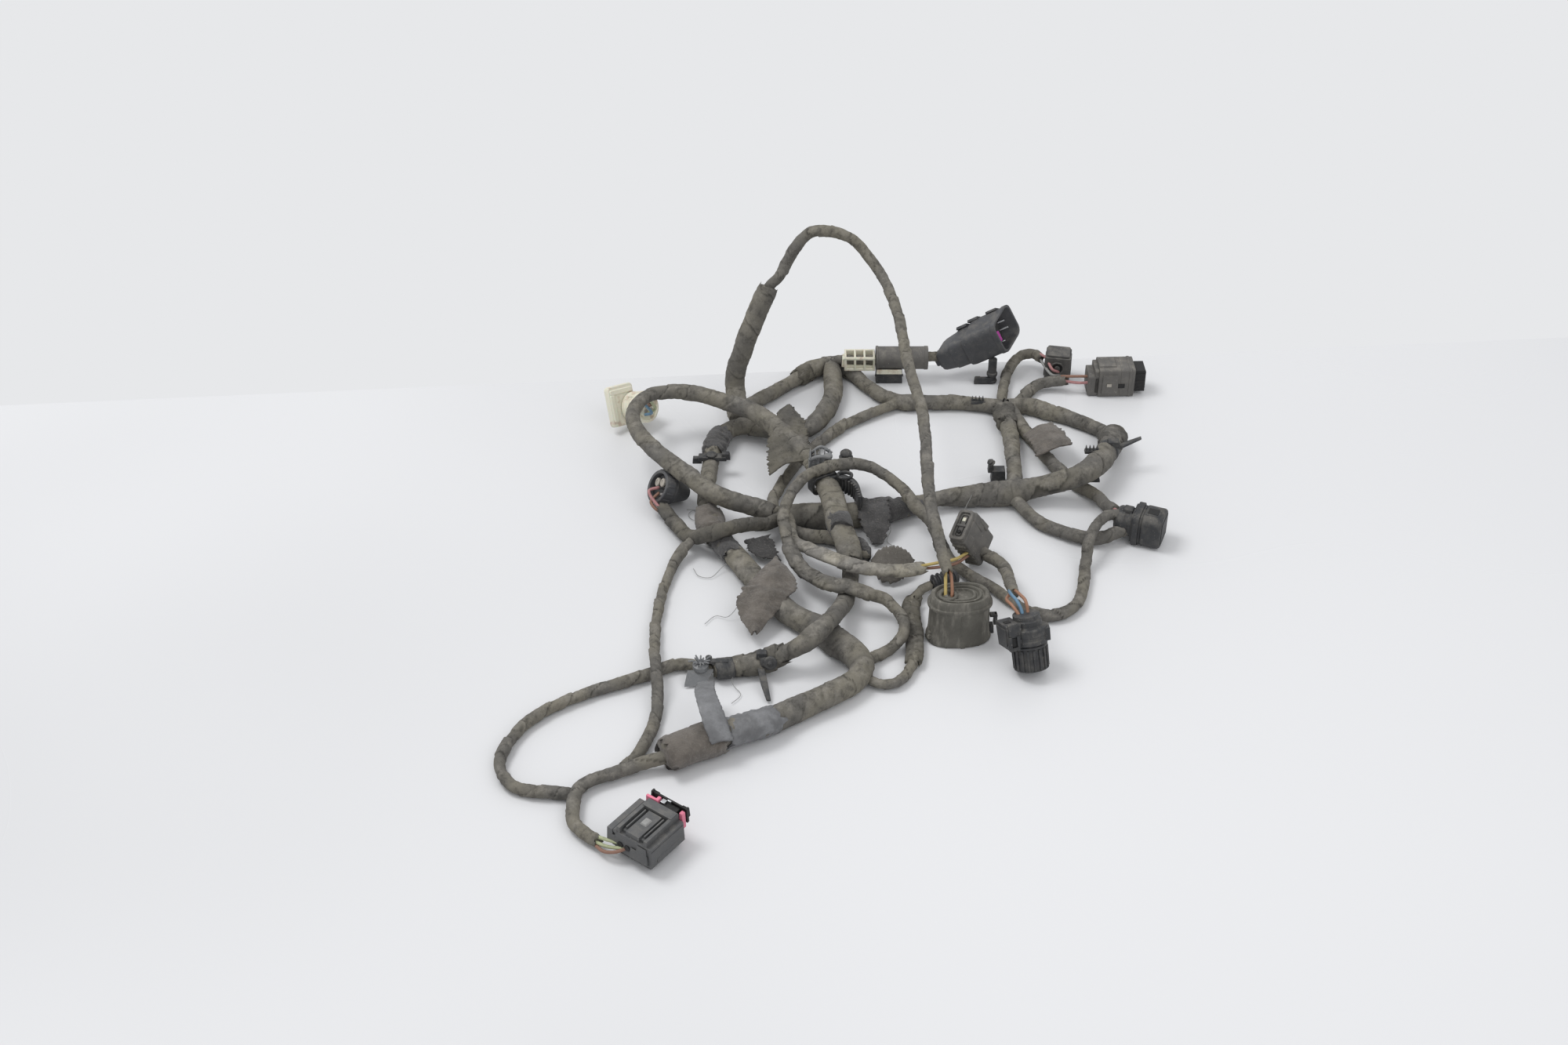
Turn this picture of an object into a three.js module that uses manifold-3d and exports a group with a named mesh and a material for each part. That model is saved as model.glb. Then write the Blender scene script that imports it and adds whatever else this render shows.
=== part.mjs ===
// Vehicle wiring harness, lying loose: taped cords, connectors, clips and wraps. Millimetres, +Z up.
import * as THREE from 'three';
import { mergeVertices } from 'three/addons/utils/BufferGeometryUtils.js';
import Module from 'manifold-3d';

const wasm = await Module();
wasm.setup();

// Middle of the whole outline on the floor, as the cords' points below are counted from the camera's aim.
const CENTRE_X = 35.48;
const CENTRE_Y = -49.16;

// Clearances and tessellation
const GAP = 0.3;
const MERGE_DISTANCE = 1e-4;
const CORD_STEP = 11;
const CORD_SIDES = 8;
const THICK_CORD_SIDES = 10;
const WIRE_STEP = 5;
const ROUND_SIDES = 20;
const ARCH_FOOT_END = 9;

// Cord diameters
const TRUNK_DIAMETER = 11.5;
const RIGHT_TRUNK_DIAMETER = 11;
const ARCH_FOOT_DIAMETER = 10.5;
const ARCH_DIAMETER = 5.6;
const LOOP_DIAMETER = 9;
const FLAT_WIDTH = 12;
const FLAT_THICKNESS = 7;
const TAPE_RUN_DIAMETER = 8;
const FRONT_LOOP_DIAMETER = 5.4;
const FRONT_LEAD_DIAMETER = 6;
const DROP_DIAMETER = 5;
const CROSS_DIAMETER = 7;
const REAR_DIAMETER = 7.6;
const DIAGONAL_DIAMETER = 5.6;
const SHORT_LINK_DIAMETER = 9;
const SIDE_LINK_DIAMETER = 6.6;
const LONG_LEAD_DIAMETER = 5.4;
const UNDER_DIAMETER = 4.6;
const YELLOW_WIDTH = 7.6;
const YELLOW_THICKNESS = 5;
const STUB_DIAMETER = 6.6;
const CORNER_DIAMETER = 5.4;
const BACK_LEAD_DIAMETER = 5.6;
const SOCKET_LEAD_DIAMETER = 5.4;
const WIRE_DIAMETER = 2;

// Front connector
const FRONT_LENGTH = 22;
const FRONT_WIDTH = 22;
const FRONT_HEIGHT = 18;
const FRONT_PANEL = 13;
const FRONT_PANEL_DEPTH = 2;
const FRONT_TONGUE_LENGTH = 11;
const FRONT_TONGUE_WIDTH = 7;
const FRONT_RAIL = 1.6;
const LATCH_BAR_THICKNESS = 3;
const LATCH_BAR_HEIGHT = 8;
const LOCK_THICKNESS = 2.4;
const LOCK_HEIGHT = 6;

// Cream connector at the left rear
const FLANGE_WIDTH = 17;
const FLANGE_HEIGHT = 18;
const FLANGE_THICKNESS = 4;
const FLANGE_SHIFT_X = -7;
const FLANGE_SHIFT_Y = 0.4;
const CAP_RADIUS = 8.7;
const CAP_LENGTH = 11;
const CAP_RIM = 1;
const CAP_FACE_DEPTH = 1.5;

// Oval connector at the left
const OVAL_WIDTH = 23;
const OVAL_HEIGHT = 17.5;
const OVAL_LENGTH = 17;
const OVAL_TAPER = 0.42;
const OVAL_WALL = 1.8;
const OVAL_MOUTH_DEPTH = 5;
const SEAL_THICKNESS = 2.5;

// Oval boot under the arch
const BOOT_LENGTH = 31;
const BOOT_WIDTH = 19.5;
const BOOT_HEIGHT = 26;
const BOOT_TOP_SHARE = 0.92;
const BOOT_RIM = 0.9;
const BOOT_RIM_HEIGHT = 20;
const BOOT_WALL = 2.2;
const BOOT_GROOVE_DEPTH = 1.2;
const BOOT_HOLE_RADIUS = 3.6;
const BOOT_HOLE_X = -6;
const BOOT_HOLE_Y = -0.5;
const INSERT_HEIGHT = 19;

// Round connector beside the boot, standing on its ribbed ring
const RING_RADIUS = 8.6;
const RING_LENGTH = 12.5;
const RING_WALL = 1.9;
const RING_MOUTH_DEPTH = 9;
const RING_RIBS = 18;
const RING_RIB_HEIGHT = 0.7;
const ROUND_BODY_RADIUS = 9;
const ROUND_BODY_LENGTH = 8;
const ROUND_TAIL_RADIUS = 6.4;
const ROUND_TAIL_LENGTH = 6;
const ROUND_BLOCK_LENGTH = 13;
const ROUND_BLOCK_WIDTH = 6;
const ROUND_BLOCK_HEIGHT = 14;

// Right connector
const RIGHT_BOX_LENGTH = 13.5;
const RIGHT_BOX_WIDTH = 17;
const RIGHT_BOX_HEIGHT = 18;
const RIGHT_LOBE_LENGTH = 11;
const RIGHT_LOBE_RADIUS = 7.4;

// Rear right connector
const REAR_BOX_LENGTH = 22;
const REAR_BOX_WIDTH = 15;
const REAR_BOX_HEIGHT = 17.5;
const REAR_MOUTH_DEPTH = 8;
const REAR_MOUTH_WALL = 1.8;
const REAR_CORE_LENGTH = 14;

// Rear middle connector
const MIDDLE_LENGTH = 14;
const MIDDLE_WIDTH = 12;
const MIDDLE_HEIGHT = 17;
const MIDDLE_FACE_RADIUS = 3.4;
const MIDDLE_FACE_DEPTH = 1.2;

// Big rear plug with the open mouth
const PLUG_MOUTH_RADIUS = 15;
const PLUG_WALL = 1.7;
const PLUG_MOUTH_SHARE = 0.34;
const PLUG_CORNER = 0.22;
const PLUG_FOOT_RADIUS = 3;
const PLUG_FOOT_X = 116;
const PLUG_FOOT_Y = 131;
const PLUG_SEAL_THICKNESS = 2;

// Box in the middle, leaning on a corner
const SLAB_THICKNESS = 9;
const SLAB_WIDTH = 18;
const SLAB_HEIGHT = 24.8;
const SLAB_PANEL_DEPTH = 1;
const SLAB_PANEL_MARGIN = 2.2;

// Rear sleeve and its cream base
const SLEEVE_LENGTH = 29;
const SLEEVE_DEPTH = 12;
const SLEEVE_HEIGHT = 13;
const SLEEVE_FLOOR = 7.4;
const SLEEVE_FOOT_LENGTH = 15;
const SOCKET_BASE_LENGTH = 17.5;
const SOCKET_BASE_DEPTH = 10;
const SOCKET_BASE_FLOOR = 8.2;
const SOCKET_BASE_HEIGHT = 8.4;
const SOCKET_SLOTS = 3;
const SOCKET_SLOT_WIDTH = 2.6;
const SOCKET_SLOT_DEPTH = 1.4;

// Wraps, straps and clips
const FELT_WIDTH = 17;
const FELT_HEIGHT = 15;
const TAPE_WIDTH = 16;
const TAPE_HEIGHT = 13.6;
const STRAP_WIDTH = 9;
const STRAP_THICKNESS = 1.5;
const FLAG_THICKNESS = 1.5;
const COLLAR_WIDTH = 12.4;
const COLLAR_HEIGHT = 9.6;
const TIE_WIDTH = 11;
const TIE_HEIGHT = 10.6;
const TIE_BAND = 4;
const TIE_TAIL_WIDTH = 3.4;
const TIE_TAIL_THICKNESS = 1.4;
const CORNER_TIE_SIZE = 13.6;
const FIN_RADIUS = 3.6;
const FIN_COUNT = 4;
const FIN_PITCH = 2.4;
const FIN_STEM_RADIUS = 1.4;
const COMB_LENGTH = 12;
const COMB_WIDTH = 9;
const COMB_HEIGHT = 4;
const COMB_TEETH = 4;
const COMB_PITCH = 3;
const COMB_TOOTH = 1.4;
const COMB_TOOTH_HEIGHT = 3.5;
const BOOT_RIB_RADIUS = 4.4;
const BOOT_RIB_COUNT = 5;
const BOOT_RIB_PITCH = 2.6;

function toSolid(geometry) {
  const bare = new THREE.BufferGeometry();
  bare.setAttribute('position', geometry.getAttribute('position').clone());
  if (geometry.index) {
    bare.setIndex(geometry.index.clone());
  }
  const merged = mergeVertices(bare, MERGE_DISTANCE);
  const index = merged.getIndex().array;
  const triangles = [];
  for (let i = 0; i < index.length; i += 3) {
    const [a, b, c] = index.slice(i, i + 3);
    if (a !== b && b !== c && a !== c) {
      triangles.push(a, b, c);
    }
  }
  const mesh = new wasm.Mesh({
    numProp: 3,
    vertProperties: new Float32Array(merged.getAttribute('position').array),
    triVerts: new Uint32Array(triangles),
  });
  return new wasm.Manifold(mesh);
}

function toGeometry(solid) {
  const mesh = solid.getMesh();
  const geometry = new THREE.BufferGeometry();
  geometry.setAttribute('position', new THREE.BufferAttribute(mesh.vertProperties, 3));
  geometry.setIndex(new THREE.BufferAttribute(mesh.triVerts, 1));
  geometry.computeVertexNormals();
  return geometry;
}

function joined(first, ...others) {
  return others.reduce((sum, other) => sum.add(other), first);
}

function without(first, ...others) {
  return others.reduce((rest, other) => rest.subtract(other), first);
}

// The largest body that a cut leaves.
function mainBody(solid) {
  const bodies = solid.decompose();
  return bodies.reduce((best, body) => (body.volume() > best.volume() ? body : best));
}

function brick([x0, x1], [y0, y1], [z0, z1]) {
  const geometry = new THREE.BoxGeometry(x1 - x0, y1 - y0, z1 - z0);
  geometry.translate((x0 + x1) / 2, (y0 + y1) / 2, (z0 + z1) / 2);
  return toSolid(geometry);
}

function centred(length) {
  return [-length / 2, length / 2];
}

// A turned solid about +Z from [radius, height] pairs that run up the outside.
function turned(profile, sides = ROUND_SIDES) {
  const points = profile.map(([radius, height]) => new THREE.Vector2(radius, height));
  const geometry = new THREE.LatheGeometry(points, sides);
  geometry.rotateX(Math.PI / 2);
  return toSolid(geometry);
}

function drum(radius, z0, z1, sides = ROUND_SIDES) {
  return turned([[0, z0], [radius, z0], [radius, z1], [0, z1]], sides);
}

// A closed solid through outlines that have equally many points, each given as THREE.Vector3.
function loft(outlines) {
  const count = outlines[0].length;
  const positions = outlines.flat().flatMap((point) => point.toArray());
  const index = [];
  for (let row = 0; row < outlines.length - 1; row += 1) {
    for (let i = 0; i < count; i += 1) {
      const a = row * count + i;
      const b = row * count + (i + 1) % count;
      index.push(a, b, b + count, a, b + count, a + count);
    }
  }
  const last = (outlines.length - 1) * count;
  for (let i = 1; i < count - 1; i += 1) {
    index.push(0, i + 1, i);
    index.push(last, last + i, last + i + 1);
  }
  const geometry = new THREE.BufferGeometry();
  geometry.setAttribute('position', new THREE.Float32BufferAttribute(positions, 3));
  geometry.setIndex(index);
  return toSolid(geometry);
}

// Cords: a centripetal curve through the points, and an oval section whose thin side is upright.
function curveThrough(points, extend = 0) {
  const path = points.map(([x, y, z]) => new THREE.Vector3(x, y, z));
  if (extend > 0) {
    const first = path[0].clone().sub(path[1]).setLength(extend);
    const last = path.at(-1).clone().sub(path.at(-2)).setLength(extend);
    path[0].add(first);
    path.at(-1).add(last);
  }
  return new THREE.CatmullRomCurve3(path, false, 'centripetal');
}

function ovalSection(width, thickness, sides) {
  const outline = [];
  for (let i = 0; i < sides; i += 1) {
    const angle = ((i + 0.5) / sides) * 2 * Math.PI;
    outline.push(new THREE.Vector2((thickness / 2) * Math.cos(angle), (width / 2) * Math.sin(angle)));
  }
  return new THREE.Shape(outline);
}

function swept(curve, width, thickness, sides, step) {
  const steps = Math.max(3, Math.round(curve.getLength() / step));
  const section = ovalSection(width, thickness, sides);
  return toSolid(new THREE.ExtrudeGeometry(section, { steps, extrudePath: curve, bevelEnabled: false }));
}

function wireSolid(points) {
  return swept(curveThrough(points), WIRE_DIAMETER, WIRE_DIAMETER, CORD_SIDES, WIRE_STEP);
}

function cordSolid(cord, grow = 0) {
  const width = cord.width + 2 * grow;
  const thickness = (cord.thickness ?? cord.width) + 2 * grow;
  const sides = cord.width > LOOP_DIAMETER ? THICK_CORD_SIDES : CORD_SIDES;
  return swept(curveThrough(cord.points, grow), width, thickness, sides, CORD_STEP);
}

// A stretch of a cord's own curve, with another section: what is wound or slid on the cord there.
function wrapSolid(cord, from, to, width, height) {
  const whole = curveThrough(cord.points);
  const count = 7;
  const points = [];
  for (let i = 0; i < count; i += 1) {
    points.push(whole.getPointAt(from + ((to - from) * i) / (count - 1)).toArray());
  }
  const outer = swept(curveThrough(points), width, height, THICK_CORD_SIDES, CORD_STEP / 2);
  return outer.subtract(cordSolid(cord, GAP));
}

// A tie's band round a cord, from a share of its length on.
function bandSolid(cord, from, width, height) {
  return wrapSolid(cord, from, from + TIE_BAND / curveThrough(cord.points).getLength(), width, height);
}

// A thin plate over a convex outline of [x, y, z] corners, thickened downwards.
function sheetSolid(corners, thickness = FLAG_THICKNESS) {
  const top = corners.map(([x, y, z]) => new THREE.Vector3(x, y, z));
  const bottom = top.map((point) => point.clone().add(new THREE.Vector3(0, 0, -thickness)));
  const area = THREE.ShapeUtils.area(corners.map(([x, y]) => new THREE.Vector2(x, y)));
  return area > 0 ? loft([bottom, top]) : loft([top, bottom]);
}

function plastic(color, roughness = 0.6) {
  return new THREE.MeshStandardMaterial({ color, roughness, metalness: 0 });
}

const TAPE = plastic(0x69645d, 0.9);
const BLACK = plastic(0x3e4042, 0.55);
const GREY = plastic(0x6e6a66, 0.6);
const BOOT_RUBBER = plastic(0x6e6a62, 0.8);
const CREAM = plastic(0xe1decd, 0.5);
const PINK = plastic(0xeb6e8c, 0.5);
const MAGENTA = plastic(0xaa3c96, 0.6);
const FELT = plastic(0x7d756e, 0.95);
const CLEAR_TAPE = plastic(0x8c8e94, 0.35);

function piece(name, solid, material) {
  const mesh = new THREE.Mesh(toGeometry(solid), material);
  mesh.name = name;
  return mesh;
}

// A connector: its pieces in a group of their own, and the seat that a cord's end is cut back to.
function connector(pieces, seat, position, turn) {
  const group = new THREE.Group();
  group.add(...pieces);
  group.position.set(...position);
  group.quaternion.copy(turn);
  group.updateMatrixWorld();
  group.userData.seat = seat?.transform(group.matrixWorld.elements);
  return group;
}

function heading(degrees) {
  const up = new THREE.Vector3(0, 0, 1);
  return new THREE.Quaternion().setFromAxisAngle(up, THREE.MathUtils.degToRad(degrees));
}

// Turns local +Z to the normal, with local +Y as near to the up vector as that allows.
function facing(normal, up) {
  const z = new THREE.Vector3(...normal).normalize();
  const x = new THREE.Vector3(...up).cross(z).normalize();
  const y = z.clone().cross(x);
  return new THREE.Quaternion().setFromRotationMatrix(new THREE.Matrix4().makeBasis(x, y, z));
}

function grownBrick(xs, ys, zs) {
  const grown = [xs, ys, zs].map(([low, high]) => [low - GAP, high + GAP]);
  return brick(...grown);
}

// Front connector: local +X is the mating direction, its rails are on +Y and the latch is on top.
function frontConnector() {
  const half = FRONT_LENGTH / 2;
  const sides = centred(FRONT_WIDTH);
  const body = brick(centred(FRONT_LENGTH), sides, [0, FRONT_HEIGHT]);
  const panelFloor = FRONT_HEIGHT - FRONT_PANEL_DEPTH;
  const panel = brick(centred(FRONT_PANEL), centred(FRONT_PANEL), [panelFloor, FRONT_HEIGHT + 1]);
  const tongueTop = FRONT_HEIGHT - FRONT_PANEL_DEPTH / 4;
  const tongueSides = centred(FRONT_TONGUE_WIDTH);
  const tongue = brick(centred(FRONT_TONGUE_LENGTH), tongueSides, [panelFloor - 1, tongueTop]);
  let housing = joined(without(body, panel), tongue);
  for (const share of [0.35, 0.75]) {
    const height = FRONT_HEIGHT * share;
    const rail = [sides[1] - 1, sides[1] + FRONT_RAIL];
    housing = housing.add(brick(centred(FRONT_LENGTH), rail, [height, height + FRONT_RAIL]));
  }
  const barStart = half + GAP;
  const barEnd = barStart + LATCH_BAR_THICKNESS;
  const barFloor = FRONT_HEIGHT - LATCH_BAR_HEIGHT;
  const bar = brick([barStart, barEnd], centred(FRONT_WIDTH * 0.9), [barFloor, FRONT_HEIGHT]);
  const clawWidth = FRONT_WIDTH * 0.14;
  const claws = centred(FRONT_WIDTH * 0.9 - clawWidth).map((middle) => brick(
    [barStart, barEnd + LATCH_BAR_THICKNESS * 0.6],
    [middle - clawWidth / 2, middle + clawWidth / 2],
    [barFloor, FRONT_HEIGHT],
  ));
  const lockTop = barFloor - GAP;
  const lock = brick(
    [barStart, barStart + LOCK_THICKNESS],
    centred(FRONT_WIDTH * 0.86),
    [lockTop - LOCK_HEIGHT, lockTop],
  );
  const seat = grownBrick(centred(FRONT_LENGTH), [sides[0], sides[1] + FRONT_RAIL], [0, FRONT_HEIGHT]);
  return connector([
    piece('front_housing', housing, BLACK),
    piece('front_latch_bar', joined(bar, ...claws), BLACK),
    piece('front_lock', lock, PINK),
  ], seat, [-57.4, -231.3, 0], heading(53));
}

// Cream connector: local +Z is the cap's axis, towards its wires.
function creamConnector() {
  const flangeX = centred(FLANGE_WIDTH).map((edge) => edge + FLANGE_SHIFT_X);
  const flangeY = centred(FLANGE_HEIGHT).map((edge) => edge + FLANGE_SHIFT_Y);
  const flange = brick(flangeX, flangeY, [-CAP_LENGTH - FLANGE_THICKNESS, -CAP_LENGTH]);
  const cap = turned([
    [0, GAP - CAP_LENGTH],
    [CAP_RADIUS, GAP - CAP_LENGTH],
    [CAP_RADIUS, -CAP_LENGTH * 0.5],
    [CAP_RADIUS - CAP_RIM, -CAP_LENGTH * 0.5],
    [CAP_RADIUS - CAP_RIM, -CAP_LENGTH * 0.2],
    [CAP_RADIUS, -CAP_LENGTH * 0.2],
    [CAP_RADIUS, 0],
    [CAP_RADIUS - CAP_RIM, 0],
    [CAP_RADIUS - CAP_RIM, -CAP_FACE_DEPTH],
    [0, -CAP_FACE_DEPTH],
  ]);
  const seat = drum(CAP_RADIUS + GAP, -CAP_LENGTH, GAP - CAP_FACE_DEPTH);
  return connector([
    piece('cream_flange', flange, CREAM),
    piece('cream_cap', cap, CREAM),
  ], seat, [-74, 84.4, 14.4], facing([0.67, -0.59, 0.44], [0, 0.6, 0.8]));
}

// Oval connector: local +Z looks out of its mouth.
function ovalConnector() {
  const shape = (share, z) => {
    const outline = [];
    for (let i = 0; i < ROUND_SIDES; i += 1) {
      const angle = (i / ROUND_SIDES) * 2 * Math.PI;
      const x = (OVAL_WIDTH / 2) * share * Math.cos(angle);
      const y = (OVAL_HEIGHT / 2) * share * Math.sin(angle);
      outline.push(new THREE.Vector3(x, y, z));
    }
    return outline;
  };
  const body = loft([shape(OVAL_TAPER, -OVAL_LENGTH), shape(0.9, -OVAL_LENGTH * 0.45), shape(1, 0)]);
  const mouthShare = 1 - (2 * OVAL_WALL) / OVAL_HEIGHT;
  const mouth = loft([shape(mouthShare, -OVAL_MOUTH_DEPTH), shape(mouthShare, 1)]);
  const sealShare = mouthShare - (2 * GAP) / OVAL_HEIGHT;
  const sealFloor = GAP - OVAL_MOUTH_DEPTH;
  const insert = loft([shape(sealShare, sealFloor), shape(sealShare, sealFloor + SEAL_THICKNESS)]);
  const seat = loft([
    shape(1.05, -OVAL_LENGTH),
    shape(1.05, sealFloor + SEAL_THICKNESS + GAP),
  ]);
  return connector([
    piece('oval_housing', without(body, mouth), BLACK),
    piece('oval_seal_insert', insert, GREY),
  ], seat, [-65, 15, 12], facing([-0.85, -0.25, 0.46], [0, 0.6, 0.8]));
}

// Oval boot: stands on the floor, its wires come in at the top.
function bootConnector() {
  const ratio = BOOT_WIDTH / BOOT_LENGTH;
  const base = BOOT_LENGTH / 2;
  const top = base * BOOT_TOP_SHARE;
  const rim = base + BOOT_RIM;
  const inner = top - BOOT_WALL;
  const outside = turned([
    [0, 0],
    [base, 0],
    [top, BOOT_RIM_HEIGHT],
    [rim, BOOT_RIM_HEIGHT + 0.5],
    [rim, BOOT_RIM_HEIGHT + 2],
    [top, BOOT_RIM_HEIGHT + 2.5],
    [top * 0.94, BOOT_HEIGHT],
    [top * 0.8, BOOT_HEIGHT],
    [top * 0.76, BOOT_HEIGHT - BOOT_GROOVE_DEPTH],
    [top * 0.7, BOOT_HEIGHT - BOOT_GROOVE_DEPTH],
    [top * 0.66, BOOT_HEIGHT - 0.3],
    [0, BOOT_HEIGHT - 0.3],
  ]);
  const cavityTop = BOOT_RIM_HEIGHT + 1;
  const cavity = drum(inner, -1, cavityTop);
  const hole = drum(BOOT_HOLE_RADIUS, 0, BOOT_HEIGHT + 1, 12).translate([BOOT_HOLE_X, BOOT_HOLE_Y, 0]);
  const shell = without(without(outside, cavity).scale([1, ratio, 1]), hole);
  const insertRatio = (ratio * inner - GAP) / (inner - GAP);
  const insert = drum(inner - GAP, 0, INSERT_HEIGHT).scale([1, insertRatio, 1]);
  const seat = brick(centred(BOOT_LENGTH), centred(BOOT_WIDTH), [0, INSERT_HEIGHT + GAP]);
  return connector([
    piece('boot_shell', shell, BOOT_RUBBER),
    piece('boot_insert', insert, BLACK),
  ], seat, [83, -89.5, 0], heading(5));
}

// Round connector: local +Z is the mating direction, its block is on local -X.
function roundConnector() {
  const tail = drum(ROUND_TAIL_RADIUS, 0, ROUND_TAIL_LENGTH + 1);
  const bodyEnd = ROUND_TAIL_LENGTH + ROUND_BODY_LENGTH;
  const body = drum(ROUND_BODY_RADIUS, ROUND_TAIL_LENGTH, bodyEnd);
  const block = brick(
    [-ROUND_BODY_RADIUS - ROUND_BLOCK_WIDTH + 2, -ROUND_BODY_RADIUS + 3],
    centred(ROUND_BLOCK_HEIGHT),
    [ROUND_TAIL_LENGTH - 4, ROUND_TAIL_LENGTH - 4 + ROUND_BLOCK_LENGTH],
  );
  const ringStart = bodyEnd + GAP;
  const ringEnd = ringStart + RING_LENGTH;
  const mouth = drum(RING_RADIUS - RING_WALL, ringEnd - RING_MOUTH_DEPTH, ringEnd + 1);
  let ring = drum(RING_RADIUS - RING_RIB_HEIGHT, ringStart, ringEnd);
  for (let i = 0; i < RING_RIBS; i += 1) {
    const rib = brick([0, RING_RADIUS], centred(1.1), [ringStart + 2, ringEnd - 1]);
    ring = ring.add(rib.rotate([0, 0, (360 / RING_RIBS) * i]));
  }
  const clearOfBlock = brick(
    [-ROUND_BODY_RADIUS - ROUND_BLOCK_WIDTH, -RING_RADIUS - GAP],
    centred(ROUND_BLOCK_HEIGHT),
    [0, ringStart + RING_LENGTH],
  );
  const blockInFront = brick([-RING_RADIUS - GAP, 0], centred(ROUND_BLOCK_HEIGHT), [bodyEnd, ringEnd]);
  const seat = drum(ROUND_TAIL_RADIUS + 2, -GAP, ROUND_TAIL_LENGTH);
  return connector([
    piece('round_housing', joined(tail, body, without(block, blockInFront)), BLACK),
    piece('round_ribbed_ring', without(ring, mouth, clearOfBlock), BLACK),
  ], seat, [112, -107.2, 28.3], facing([0.13, -0.36, -0.92], [0, 0, 1]));
}

// Right connector: local +X is the mating direction.
function rightConnector() {
  const boxEnd = RIGHT_LOBE_LENGTH + RIGHT_BOX_LENGTH;
  const box = brick([RIGHT_LOBE_LENGTH, boxEnd], centred(RIGHT_BOX_WIDTH), centred(RIGHT_BOX_HEIGHT));
  const lobe = drum(RIGHT_LOBE_RADIUS, 0, RIGHT_LOBE_LENGTH + 1).rotate([0, 90, 0]);
  const seat = drum(RIGHT_LOBE_RADIUS + 3, -GAP, RIGHT_LOBE_LENGTH).rotate([0, 90, 0]);
  return connector([
    piece('right_housing', joined(box, lobe), BLACK),
  ], seat, [168, -8.5, RIGHT_BOX_HEIGHT / 2], heading(-22));
}

// Rear right connector: local +X looks out of its mouth, where the core stands.
function rearRightConnector() {
  const body = brick([0, REAR_BOX_LENGTH], centred(REAR_BOX_WIDTH), centred(REAR_BOX_HEIGHT));
  const mouthY = centred(REAR_BOX_WIDTH - 2 * REAR_MOUTH_WALL);
  const mouthZ = centred(REAR_BOX_HEIGHT - 2 * REAR_MOUTH_WALL);
  const mouthStart = REAR_BOX_LENGTH - REAR_MOUTH_DEPTH;
  const mouth = brick([mouthStart, REAR_BOX_LENGTH + 1], mouthY, mouthZ);
  const coreStart = mouthStart + GAP;
  const coreY = mouthY.map((edge) => edge - Math.sign(edge) * GAP);
  const coreZ = mouthZ.map((edge) => edge - Math.sign(edge) * GAP);
  const core = brick([coreStart, coreStart + REAR_CORE_LENGTH], coreY, coreZ);
  const seat = grownBrick([0, REAR_BOX_LENGTH], centred(REAR_BOX_WIDTH), centred(REAR_BOX_HEIGHT));
  return connector([
    piece('rear_right_housing', without(body, mouth), GREY),
    piece('rear_right_core', core, BLACK),
  ], seat, [171, 122.5, REAR_BOX_HEIGHT / 2], heading(2));
}

// Rear middle connector: local -Y is the face with the round recess.
function rearMiddleConnector() {
  const xs = centred(MIDDLE_LENGTH);
  const ys = centred(MIDDLE_WIDTH);
  const body = brick(xs, ys, [0, MIDDLE_HEIGHT]);
  const recess = drum(MIDDLE_FACE_RADIUS, MIDDLE_WIDTH / 2 - MIDDLE_FACE_DEPTH, MIDDLE_WIDTH / 2 + 1)
    .rotate([90, 0, 0])
    .translate([0, 0, MIDDLE_HEIGHT * 0.55]);
  const seat = grownBrick(xs, ys, [0, MIDDLE_HEIGHT]);
  return connector([
    piece('rear_middle_housing', without(body, recess), GREY),
  ], seat, [153, 136, 0], heading(-10));
}

// Big rear plug: four-sided sections with cut corners between the mouth and the neck.
const PLUG_MOUTH = new THREE.Vector3(123.5, 139, 30);
const PLUG_NECK = new THREE.Vector3(86, 137, 11.5);
const PLUG_ACROSS = new THREE.Vector3(0.63, 0.62, -0.47);
const PLUG_UP = new THREE.Vector3(0, 0.6, 0.8);

// The body's steps from the neck to the mouth: share of the way back, share of the mouth's radius.
const PLUG_STEPS = [[1, 0.34], [0.93, 0.5], [0.86, 0.66], [0.66, 0.8], [0.5, 0.84], [0.44, 0.95], [0, 1]];

function plugSection(share, radius) {
  const centre = PLUG_MOUTH.clone().lerp(PLUG_NECK, share);
  const outline = [];
  for (let corner = 0; corner < 4; corner += 1) {
    for (const side of [-1, 1]) {
      const angle = (corner * Math.PI) / 2 + side * PLUG_CORNER;
      const reach = radius * (1 - PLUG_CORNER * 0.6);
      const across = PLUG_ACROSS.clone().multiplyScalar(reach * Math.cos(angle));
      const up = PLUG_UP.clone().multiplyScalar(reach * Math.sin(angle));
      outline.push(centre.clone().add(across).add(up));
    }
  }
  return outline;
}

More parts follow.
